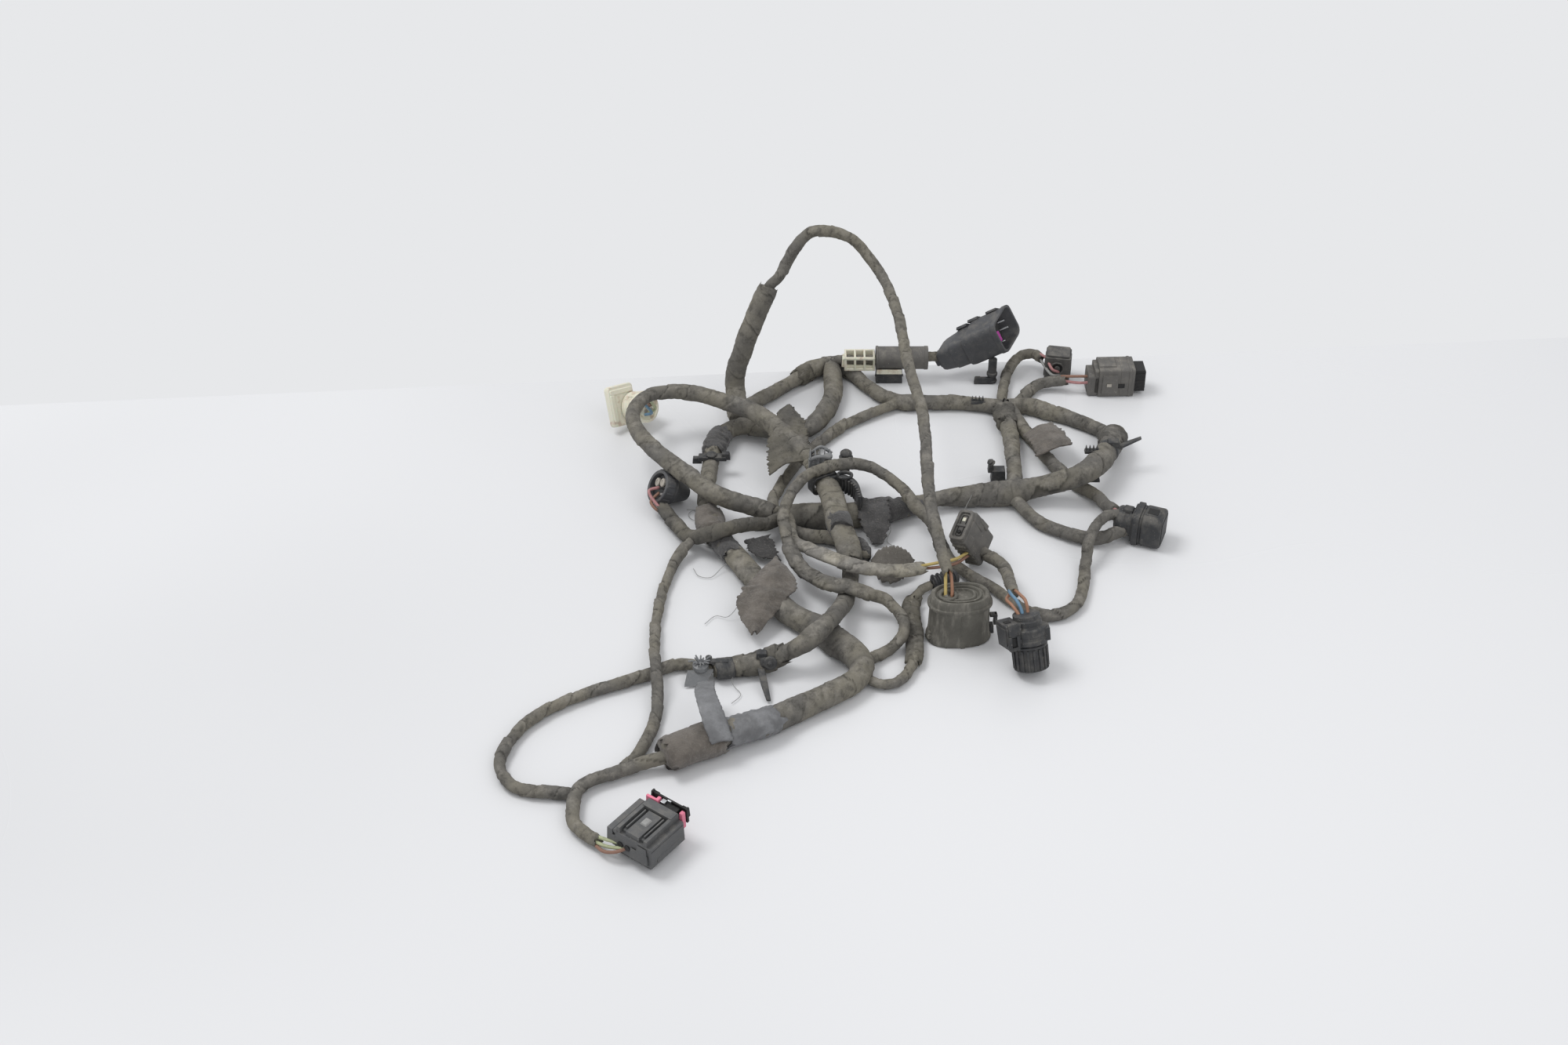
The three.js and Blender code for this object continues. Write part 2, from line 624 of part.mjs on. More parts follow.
function plugConnector() {
  const body = loft(PLUG_STEPS.map(([share, reach]) => plugSection(share, PLUG_MOUTH_RADIUS * reach)));
  const innerRadius = PLUG_MOUTH_RADIUS - PLUG_WALL;
  const mouth = loft([plugSection(PLUG_MOUTH_SHARE, innerRadius), plugSection(-0.1, innerRadius)]);
  const sealShare = PLUG_MOUTH_SHARE - (2 * GAP) / PLUG_MOUTH.distanceTo(PLUG_NECK);
  const sealEnd = sealShare - (1.6 * PLUG_SEAL_THICKNESS) / PLUG_MOUTH.distanceTo(PLUG_NECK);
  const seal = loft([
    plugSection(sealShare, innerRadius - 2 * GAP),
    plugSection(sealEnd, innerRadius - 2 * GAP),
  ]);
  const foot = drum(PLUG_FOOT_RADIUS, 0, 22, 12).translate([PLUG_FOOT_X, PLUG_FOOT_Y, 0]);
  const finger = brick([PLUG_FOOT_X - 10, PLUG_FOOT_X], [PLUG_FOOT_Y - 3, PLUG_FOOT_Y], [0, 4]);
  const clearRadius = PLUG_MOUTH_RADIUS + GAP;
  const bodyClear = loft([plugSection(0.5, clearRadius), plugSection(-0.05, clearRadius)]);
  const seat = loft([plugSection(1 + GAP / 40, PLUG_MOUTH_RADIUS), plugSection(0.6, PLUG_MOUTH_RADIUS)]);
  return connector([
    piece('plug_housing', without(body, mouth), BLACK),
    piece('plug_seal', seal, MAGENTA),
    piece('plug_foot_clip', mainBody(without(joined(foot, finger), bodyClear)), BLACK),
  ], seat, [0, 0, 0], heading(0));
}

// Leaning box: local +Z is its long way, the panel is on the big face at local +X.
function slabConnector() {
  const xs = centred(SLAB_THICKNESS);
  const ys = centred(SLAB_WIDTH);
  const body = brick(xs, ys, [0, SLAB_HEIGHT]);
  const panel = brick(
    [xs[1] - SLAB_PANEL_DEPTH, xs[1] + 1],
    [ys[0] + SLAB_PANEL_MARGIN, ys[1] - SLAB_PANEL_MARGIN],
    [SLAB_PANEL_MARGIN, SLAB_HEIGHT - SLAB_PANEL_MARGIN],
  );
  const seat = grownBrick(xs, ys, [0, SLAB_HEIGHT]);
  return connector([
    piece('slab_housing', without(body, panel), GREY),
  ], seat, [97.9, -30, 5.4], facing([-0.45, -0.27, 0.85], [0.4, 0.8, 0.46]));
}

// Rear sleeve and its cream base: local +X runs along the lead that passes through both.
function sleeveConnector(lead) {
  const sleeveZ = [SLEEVE_FLOOR, SLEEVE_FLOOR + SLEEVE_HEIGHT];
  const sleeve = drum(SLEEVE_DEPTH / 2, 0, SLEEVE_LENGTH)
    .rotate([0, 90, 0])
    .scale([1, 1, SLEEVE_HEIGHT / SLEEVE_DEPTH])
    .translate([0, 0, (sleeveZ[0] + sleeveZ[1]) / 2]);
  const footFloor = brick([0, SLEEVE_FOOT_LENGTH], centred(SLEEVE_DEPTH * 0.8), [0, SLEEVE_FLOOR + 2]);
  const baseZ = [SOCKET_BASE_FLOOR, SOCKET_BASE_FLOOR + SOCKET_BASE_HEIGHT];
  const base = brick([-SOCKET_BASE_LENGTH, -GAP], centred(SOCKET_BASE_DEPTH), baseZ);
  const slots = [];
  for (let i = 0; i < SOCKET_SLOTS; i += 1) {
    const start = -SOCKET_BASE_LENGTH + 1.5 + i * (SOCKET_SLOT_WIDTH + 2.4);
    slots.push(brick(
      [start, start + SOCKET_SLOT_WIDTH],
      [-SOCKET_BASE_DEPTH / 2 - 1, SOCKET_SLOT_DEPTH - SOCKET_BASE_DEPTH / 2],
      [baseZ[0] + 1.2, baseZ[1] - 1.2],
    ));
  }
  const position = [51, 134, 0];
  const bore = cordSolid(lead, GAP).translate(position.map((value) => -value));
  return connector([
    piece('rear_sleeve', mainBody(without(joined(sleeve, footFloor), bore)), GREY),
    piece('cream_socket_base', mainBody(without(base, ...slots, bore)), CREAM),
  ], null, position, heading(0));
}

// Cords. Points are whole millimetres along the middle of each, picked by eye, in the order of its run.
const cords = {
  main_trunk: {
    width: TRUNK_DIAMETER,
    points: [
      [-52, -181, 8], [-47, -178, 8], [-33, -171, 8], [-18, -164, 8], [-6, -157, 7], [5, -149, 6],
      [16, -142, 6], [26, -135, 6], [33, -128, 6], [36, -120, 6], [33, -111, 6], [25, -102, 6],
      [17, -92, 6], [4, -81, 6], [-8, -65, 6], [-20, -44, 6], [-31, -24, 6], [-38, -4, 6],
      [-40, 17, 6], [-39, 37, 6], [-37, 57, 6], [-31, 73, 6], [-23, 78, 6], [-12, 76, 6],
      [0, 72, 6], [13, 76, 6], [22, 91, 6], [27, 110, 6], [27, 127, 6], [27, 136, 6],
    ],
    cutBy: ['rear_run'],
  },
  upper_loop: {
    width: LOOP_DIAMETER,
    points: [
      [-6, -4, 9], [-17, -2, 12], [-28, -2, 16], [-38, 2, 19], [-48, 10, 22], [-60, 20, 25],
      [-71, 34, 26], [-78, 48, 27], [-79, 60, 28], [-75, 71, 28], [-68, 77, 28], [-58, 80, 27],
      [-45, 79, 26], [-30, 74, 24], [-16, 68, 22], [-4, 56, 20], [5, 44, 18], [13, 33, 17], [16, 29, 17],
    ],
    cutBy: ['right_trunk'],
    seat: 'cream',
    wires: [
      [[-72, 73, 27], [-69, 77, 22], [-70, 81, 17], [-76, 86, 13]],
      [[-74, 71, 27], [-73, 76, 21], [-73, 80, 17], [-79, 86, 13]],
    ],
  },
  flat_run: {
    width: FLAT_WIDTH,
    thickness: FLAT_THICKNESS,
    points: [[15, 30, 17], [22, 11, 16], [25, -4, 16], [27, -19, 15], [31, -31, 12], [33, -42, 9]],
    cutBy: ['upper_loop'],
  },
  tape_run: {
    width: TAPE_RUN_DIAMETER,
    points: [
      [33, -40, 7], [32, -58, 5], [29, -74, 8], [23, -95, 16], [16, -108, 18], [7, -114, 14],
      [-5, -115, 8], [-18, -117, 5], [-32, -120, 5],
    ],
    cutBy: ['flat_run'],
  },
  front_loop: {
    width: FRONT_LOOP_DIAMETER,
    points: [
      [-34, -119, 4], [-48, -114, 3], [-61, -120, 3], [-73, -126, 3], [-92, -135, 3], [-107, -145, 3],
      [-117, -155, 3], [-123, -167, 3], [-126, -178, 3], [-124, -188, 3], [-118, -196, 3],
      [-106, -199, 3], [-93, -200, 3],
    ],
    cutBy: ['tape_run', 'front_lead'],
  },
  front_lead: {
    width: FRONT_LEAD_DIAMETER,
    points: [
      [-51, -181, 7], [-62, -183, 5], [-74, -188, 4], [-84, -193, 4], [-90, -199, 4], [-91, -210, 4],
      [-90, -219, 4], [-84, -226, 4], [-79, -230, 4],
    ],
    cutBy: ['main_trunk'],
    seat: 'front',
    wires: [
      [[-81, -229, 5], [-75, -233, 6], [-69, -236, 7], [-62, -235, 8]],
      [[-81, -230, 3], [-76, -234, 4], [-70, -238, 5], [-63, -238, 6]],
    ],
  },
  left_drop: {
    width: DROP_DIAMETER,
    points: [
      [-46, -25, 8], [-53, -34, 4], [-58, -53, 3], [-61, -78, 3], [-61, -104, 5], [-59, -126, 10],
      [-58, -136, 6], [-58, -148, 3], [-61, -164, 3], [-66, -177, 3], [-71, -185, 4],
    ],
    cutBy: ['cross_run', 'front_lead'],
  },
  cross_run: {
    width: CROSS_DIAMETER,
    points: [
      [-62, 4, 6], [-56, -6, 5], [-47, -21, 7], [-38, -27, 13], [-29, -28, 17], [-18, -20, 14],
      [-8, -13, 9], [-1, -6, 8],
    ],
    cutBy: ['right_trunk', 'upper_loop'],
    seat: 'oval',
    wires: [
      [[-60, 1, 6], [-65, 5, 8], [-69, 11, 12], [-64, 14, 12]],
      [[-60, 1, 5], [-64, 3, 5], [-68, 7, 8], [-64, 12, 10]],
    ],
  },
  rear_run: {
    width: REAR_DIAMETER,
    points: [
      [-21, 97, 6], [-8, 112, 4], [3, 123, 4], [14, 134, 5], [26, 141, 5], [36, 136, 4],
      [45, 122, 4], [55, 110, 4], [64, 104, 4], [77, 104, 4], [95, 104, 4], [120, 100, 4],
      [133, 100, 4], [144, 95, 4], [155, 89, 4], [167, 80, 4], [174, 72, 5],
    ],
    cutBy: ['arch', 'right_trunk'],
  },
  right_trunk: {
    width: RIGHT_TRUNK_DIAMETER,
    points: [
      [175, 71, 6], [174, 60, 9], [169, 44, 13], [159, 27, 15], [148, 18, 15], [136, 19, 10],
      [117, 18, 6], [98, 15, 6], [80, 12, 6], [64, 6, 6], [48, 1, 6], [32, -2, 6], [16, -2, 6],
      [1, -2, 6],
    ],
    cutBy: [],
  },
  diagonal_link: {
    width: DIAGONAL_DIAMETER,
    points: [
      [61, 103, 4], [45, 93, 3], [32, 83, 3], [19, 67, 3], [7, 48, 3], [-1, 30, 3], [-6, 12, 3],
      [-3, 1, 4],
    ],
    cutBy: ['rear_run', 'right_trunk', 'upper_loop'],
  },
  short_link: {
    width: SHORT_LINK_DIAMETER,
    points: [[119, 98, 5], [121, 75, 5], [121, 53, 5], [120, 30, 5], [119, 20, 6]],
    cutBy: ['rear_run', 'right_trunk'],
  },
  outer_link: {
    width: SIDE_LINK_DIAMETER,
    points: [
      [124, 98, 4], [128, 82, 4], [134, 65, 4], [142, 45, 4], [152, 28, 4], [161, 18, 4],
      [165, 6, 6], [168, -2, 9],
    ],
    cutBy: ['rear_run', 'short_link'],
    seat: 'right',
    wires: [
      [[167, 0, 9], [168, -4, 11], [172, -8, 11]],
      [[167, 1, 7], [169, -4, 8], [173, -9, 8]],
    ],
  },
  inner_link: {
    width: SIDE_LINK_DIAMETER,
    points: [[118, 14, 5], [128, -3, 4], [139, -12, 4], [151, -18, 4], [160, -19, 5], [173, -14, 7]],
    cutBy: ['right_trunk'],
    seat: 'right',
  },
  long_lead: {
    width: LONG_LEAD_DIAMETER,
    points: [
      [37, -115, 5], [45, -107, 3], [52, -102, 4], [56, -98, 7], [57, -91, 9], [54, -82, 9],
      [49, -75, 10], [41, -73, 12], [31, -71, 15], [23, -68, 14], [16, -60, 11], [9, -54, 12],
      [4, -45, 14], [1, -31, 16], [0, -16, 18], [5, 0, 21], [13, 9, 24], [24, 16, 24],
      [34, 21, 22], [44, 21, 20], [52, 16, 18], [60, 8, 16], [66, -5, 15], [74, -14, 10],
      [78, -24, 6], [82, -37, 5], [93, -50, 4], [103, -58, 3], [110, -67, 3], [120, -76, 3],
      [130, -78, 3], [140, -72, 3], [146, -57, 3], [149, -41, 4], [151, -32, 11], [156, -20, 13],
      [162, -12, 13], [173, -10, 13],
    ],
    cutBy: ['main_trunk'],
    seat: 'right',
  },
  under_branch: {
    width: UNDER_DIAMETER,
    points: [
      [36, -122, 4], [44, -128, 3], [52, -127, 3], [58, -119, 3], [62, -105, 3], [62, -92, 3],
      [61, -79, 3], [62, -68, 3], [67, -60, 4], [72, -56, 4],
    ],
    cutBy: ['main_trunk'],
  },
  yellow_lead: {
    width: YELLOW_WIDTH,
    thickness: YELLOW_THICKNESS,
    points: [
      [1, -10, 11], [4, -28, 10], [12, -37, 12], [20, -47, 15], [30, -54, 16], [40, -58, 16],
      [49, -58, 15], [59, -56, 13], [68, -51, 11],
    ],
    cutBy: ['right_trunk', 'cross_run'],
    seat: 'slab',
    wires: [
      [[66, -52, 12], [75, -50, 13], [84, -47, 13], [92, -40, 13]],
      [[66, -52, 10], [75, -51, 11], [84, -48, 11], [92, -40, 11]],
    ],
  },
  short_stub: {
    width: STUB_DIAMETER,
    points: [[2, -5, 4], [5, -13, 4], [12, -16, 4], [23, -18, 4], [31, -21, 4], [38, -26, 4], [40, -35, 4]],
    cutBy: ['right_trunk', 'cross_run'],
  },
  corner_lead: {
    width: CORNER_DIAMETER,
    points: [
      [95, -32, 8], [101, -38, 8], [106, -45, 9], [108, -56, 13], [108, -70, 18], [108, -82, 23],
      [108, -91, 27],
    ],
    cutBy: [],
    seats: ['slab', 'round'],
    wires: [
      [[107, -89, 27], [108, -97, 31], [110, -103, 32], [111, -106, 29], [111, -109, 25]],
      [[108, -89, 27], [110, -97, 30], [112, -103, 31], [113, -106, 28], [113, -109, 24]],
      [[109, -89, 26], [111, -96, 29], [114, -102, 29], [114, -106, 26], [114, -109, 23]],
    ],
  },
  back_lead_a: {
    width: BACK_LEAD_DIAMETER,
    points: [[126, 101, 3], [133, 113, 3], [140, 121, 4], [149, 122, 6], [156, 120, 8]],
    cutBy: ['rear_run'],
    seat: 'rearRight',
    wires: [
      [[154, 120, 9], [163, 121, 9], [175, 121, 9]],
      [[154, 120, 7], [163, 119, 7], [175, 119, 7]],
    ],
  },
  back_lead_b: {
    width: BACK_LEAD_DIAMETER,
    points: [[119, 102, 3], [122, 122, 3], [126, 137, 4], [133, 146, 7], [140, 144, 10], [144, 139, 10]],
    cutBy: ['rear_run', 'back_lead_a'],
    seat: 'rearMiddle',
    wires: [
      [[143, 141, 11], [146, 137, 11], [151, 136, 11]],
      [[143, 140, 9], [146, 136, 8], [151, 134, 8]],
    ],
  },
  socket_lead: {
    width: SOCKET_LEAD_DIAMETER,
    points: [[28, 136, 11], [34, 135, 12], [45, 134, 12], [60, 134, 14], [78, 135, 14], [90, 137, 13]],
    cutBy: ['rear_run', 'main_trunk'],
    seat: 'plug',
  },
};

// The arch: a thick foot that splits off one thin taped branch, which stands up and comes down to the boot.
const archPoints = [
  [-24, 85, 7], [-26, 100, 8], [-27, 107, 12], [-26, 109, 22], [-23, 109, 32], [-20, 111, 42],
  [-16, 114, 51], [-12, 117, 60], [-8, 120, 68],
  [-2, 120, 75], [1, 124, 80], [5, 125, 87], [10, 126, 94], [15, 126, 98], [23, 125, 99],
  [32, 124, 97], [39, 124, 92], [45, 120, 86], [52, 112, 79], [58, 95, 73], [61, 77, 68],
  [63, 57, 64], [66, 38, 60], [69, 20, 57], [70, 4, 54], [70, -16, 51], [70, -34, 48],
  [71, -49, 45], [73, -64, 42], [75, -77, 38], [77, -84, 34],
];
const archWires = [
  [[76, -82, 35], [76, -87, 29], [76, -90, 24], [76, -90, 18]],
  [[78, -82, 35], [78, -87, 29], [78, -90, 24], [78, -90, 18]],
];

function archSolid(grow = 0) {
  const foot = { width: ARCH_FOOT_DIAMETER, points: archPoints.slice(0, ARCH_FOOT_END) };
  const branch = { width: ARCH_DIAMETER, points: archPoints.slice(ARCH_FOOT_END - 2) };
  return cordSolid(foot, grow).add(cordSolid(branch, grow));
}

// Builds the connectors, then each cord cut back to its trunk and to its connector.
const connectors = {
  front: frontConnector(),
  cream: creamConnector(),
  oval: ovalConnector(),
  boot: bootConnector(),
  round: roundConnector(),
  right: rightConnector(),
  rearRight: rearRightConnector(),
  rearMiddle: rearMiddleConnector(),
  plug: plugConnector(),
  slab: slabConnector(),
  sleeve: sleeveConnector(cords.socket_lead),
};

function clearanceOf(name) {
  return name === 'arch' ? archSolid(GAP) : cordSolid(cords[name], GAP);
}

function finishedCord(name) {
  const cord = cords[name];
  let solid = cordSolid(cord);
  for (const wire of cord.wires ?? []) {
    solid = solid.add(wireSolid(wire));
  }
  for (const other of cord.cutBy) {
    solid = mainBody(solid.subtract(clearanceOf(other)));
  }
  for (const seat of cord.seats ?? [cord.seat]) {
    if (seat) {
      solid = mainBody(solid.subtract(connectors[seat].userData.seat));
    }
  }
  return solid;
}

function finishedArch() {
  const solid = joined(archSolid(), ...archWires.map(wireSolid));
  const cut = solid.subtract(clearanceOf('main_trunk')).subtract(connectors.boot.userData.seat);
  return mainBody(cut);
}

// Wraps and clips, each cut clear of the cords that pass through or beside it.
function clearOf(solid, ...names) {
  return mainBody(names.reduce((rest, name) => rest.subtract(clearanceOf(name)), solid));
}

function feltSleeve() {
  return wrapSolid(cords.main_trunk, 0, 0.062, FELT_WIDTH, FELT_HEIGHT);
}

function greyTape() {
  return wrapSolid(cords.main_trunk, 0.066, 0.125, TAPE_WIDTH, TAPE_HEIGHT);
}

function loopStrap() {
  const points = [[-18, -164, 15], [-26, -163, 21], [-33, -157, 23], [-36, -146, 19], [-35, -136, 12]];
  const strap = swept(curveThrough(points), STRAP_WIDTH, STRAP_THICKNESS, CORD_SIDES, WIRE_STEP);
  const tape = wrapSolid(cords.main_trunk, 0.05, 0.14, TAPE_WIDTH + 2 * GAP, TAPE_HEIGHT + 2 * GAP);
  return mainBody(strap.subtract(tape));
}

function trunkFeltFlag() {
  const corners = [
    [5, -40, 9], [-13, -59, 14], [-22, -72, 8], [-22, -85, 6], [-14, -98, 8], [3, -77, 14], [13, -59, 8],
  ];
  return clearOf(sheetSolid(corners), 'main_trunk', 'long_lead');
}

function upperTapeFlag() {
  const corners = [[3, 70, 21], [-5, 52, 19], [-7, 26, 12], [9, 30, 18], [12, 46, 19]];
  return clearOf(sheetSolid(corners), 'upper_loop', 'diagonal_link');
}

function frayedFlag() {
  const corners = [[39.5, -2, 13.4], [42, -15, 6], [49, -20, 3], [50, -2, 13.4]];
  return clearOf(sheetSolid(corners), 'right_trunk', 'short_stub', 'flat_run');
}

function sideFeltFlag() {
  const corners = [[130, 65, 9.3], [134, 46, 9.3], [141, 44, 9.3], [150, 57, 12], [142, 71, 12]];
  return clearOf(sheetSolid(corners), 'outer_link');
}

function frontClip() {
  const collar = wrapSolid(cords.tape_run, 0.935, 1, COLLAR_WIDTH, COLLAR_HEIGHT);
  return clearOf(collar, 'front_loop');
}

function frontTie() {
  const band = bandSolid(cords.tape_run, 0.8, TIE_WIDTH, TIE_HEIGHT);
  const tail = sheetSolid(
    [[-12, -121, 5], [-8.6, -121, 5], [-5.6, -138, 2], [-5.6 - TIE_TAIL_WIDTH, -138, 2]],
    TIE_TAIL_THICKNESS,
  );
  return clearOf(joined(band, tail), 'tape_run');
}

function linkClip() {
  const body = brick([108, 120], [32, 39], [1, 9]);
  const hook = brick([106, 110], [33, 38], [7, 12]);
  return clearOf(joined(body, hook), 'short_link');
}

function cornerTie() {
  const band = bandSolid(cords.right_trunk, 0.12, CORNER_TIE_SIZE, CORNER_TIE_SIZE);
  const start = 45;
  const end = 47;
  const tail = sheetSolid([
    [174, start, 13], [174, start + TIE_TAIL_WIDTH, 13], [187, end + TIE_TAIL_WIDTH, 19], [187, end, 19],
  ], TIE_TAIL_THICKNESS);
  return clearOf(joined(band, tail), 'right_trunk');
}

function firTreeClip() {
  const profile = [[0, 0]];
  for (let i = 0; i < FIN_COUNT; i += 1) {
    const base = 2 + i * FIN_PITCH;
    profile.push([FIN_STEM_RADIUS, i === 0 ? 0 : base]);
    profile.push([FIN_RADIUS, base]);
    profile.push([FIN_STEM_RADIUS, base + FIN_PITCH * 0.6]);
  }
  profile.push([0, 2 + FIN_COUNT * FIN_PITCH]);
  const stem = turned(profile, 12).translate([32, 30, 13]);
  const plate = brick([18, 34], [27, 33], [13, 15]);
  return clearOf(joined(stem, plate), 'upper_loop', 'flat_run', 'long_lead');
}

function combClip() {
  const [left, front, floor] = [12.5, 18.5, 20];
  const top = floor + COMB_HEIGHT;
  let comb = brick([left, left + COMB_LENGTH], [front, front + COMB_WIDTH], [floor, top]);
  for (let i = 0; i < COMB_TEETH; i += 1) {
    const edge = left + 1 + i * COMB_PITCH;
    const toothZ = [top - 1, top + COMB_TOOTH_HEIGHT];
    comb = comb.add(brick([edge, edge + COMB_TOOTH], [front, front + COMB_WIDTH], toothZ));
  }
  return clearOf(comb, 'upper_loop', 'flat_run', 'long_lead');
}

function edgeStrap() {
  const strip = [[25, 13], [31, 12], [36, 6], [38, -4]].map(([x, y]) => [x, y, 16]);
  const strap = swept(curveThrough(strip), 1.6, 7, CORD_SIDES, WIRE_STEP);
  return clearOf(strap, 'flat_run', 'right_trunk', 'long_lead');
}

function ribbedBoot() {
  const profile = [[0, 0], [UNDER_DIAMETER * 0.6, 0]];
  for (let i = 0; i < BOOT_RIB_COUNT; i += 1) {
    const base = 0.6 + i * BOOT_RIB_PITCH;
    profile.push([BOOT_RIB_RADIUS, base]);
    profile.push([BOOT_RIB_RADIUS, base + BOOT_RIB_PITCH * 0.5]);
    profile.push([BOOT_RIB_RADIUS * 0.75, base + BOOT_RIB_PITCH * 0.55]);
    profile.push([BOOT_RIB_RADIUS * 0.75, base + BOOT_RIB_PITCH * 0.95]);
  }
  profile.push([0, 0.6 + BOOT_RIB_COUNT * BOOT_RIB_PITCH]);
  const boot = turned(profile, 14).rotate([0, 84, 22]).translate([72.4, -55.8, 4.5]);
  return clearOf(boot, 'under_branch', 'long_lead', 'yellow_lead');
}

const harness = new THREE.Group();
harness.position.set(-CENTRE_X, -CENTRE_Y, 0);
harness.add(...Object.values(connectors));
harness.add(piece('arch', finishedArch(), TAPE));
for (const name of Object.keys(cords)) {
  harness.add(piece(name, finishedCord(name), TAPE));
}
harness.add(
  piece('felt_sleeve', feltSleeve(), FELT),
  piece('grey_tape', greyTape(), CLEAR_TAPE),
  piece('grey_loop_strap', loopStrap(), CLEAR_TAPE),
  piece('trunk_felt_flag', trunkFeltFlag(), FELT),
  piece('upper_tape_flag', upperTapeFlag(), TAPE),
  piece('frayed_flag', frayedFlag(), FELT),
  piece('side_felt_flag', sideFeltFlag(), FELT),
  piece('front_clip', frontClip(), BLACK),
  piece('front_tie', frontTie(), BLACK),
  piece('link_clip', linkClip(), BLACK),
  piece('corner_tie', cornerTie(), BLACK),
  piece('fir_tree_clip', firTreeClip(), BLACK),
  piece('comb_clip', combClip(), BLACK),
  piece('edge_strap', edgeStrap(), BLACK),
  piece('ribbed_boot', ribbedBoot(), BLACK),
);

export default harness;
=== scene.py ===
"""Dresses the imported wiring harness: taped cords, bare wires, connectors, wraps, clips and the stage."""

import math
import random

import bpy
import numpy as np
from mathutils import Matrix, Vector, noise


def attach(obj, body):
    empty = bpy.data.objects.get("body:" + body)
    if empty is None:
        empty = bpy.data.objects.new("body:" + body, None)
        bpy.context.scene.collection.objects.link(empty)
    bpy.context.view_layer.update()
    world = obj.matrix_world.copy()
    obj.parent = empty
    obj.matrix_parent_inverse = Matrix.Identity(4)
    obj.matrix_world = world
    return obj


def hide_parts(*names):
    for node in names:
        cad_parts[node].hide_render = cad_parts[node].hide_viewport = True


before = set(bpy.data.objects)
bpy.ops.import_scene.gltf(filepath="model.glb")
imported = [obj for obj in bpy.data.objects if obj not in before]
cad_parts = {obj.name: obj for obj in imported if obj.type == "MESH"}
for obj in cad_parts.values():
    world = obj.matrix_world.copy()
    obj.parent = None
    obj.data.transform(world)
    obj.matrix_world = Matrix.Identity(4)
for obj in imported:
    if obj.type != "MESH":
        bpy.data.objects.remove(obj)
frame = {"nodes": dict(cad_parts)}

bl_info = {
    "name": "Wiring Harness",
    "version": (1, 0, 0),
    "blender": (4, 5, 0),
    "location": "View3D > Sidebar > Harness",
    "description": "Builds the looks of a used vehicle wiring harness",
    "category": "Add Mesh",
}

# Places are written in millimetres from the point on the floor that the camera looks at.
MM = 0.001
ROW_CENTRE = Vector((35.48, -49.16, 0.0))
CAMERA_DISTANCE = 1100.0
CAMERA_ELEVATION = math.radians(37)
CAMERA_FIELD = math.radians(40)
PHOTO_WIDTH, PHOTO_HEIGHT = 2000, 1333

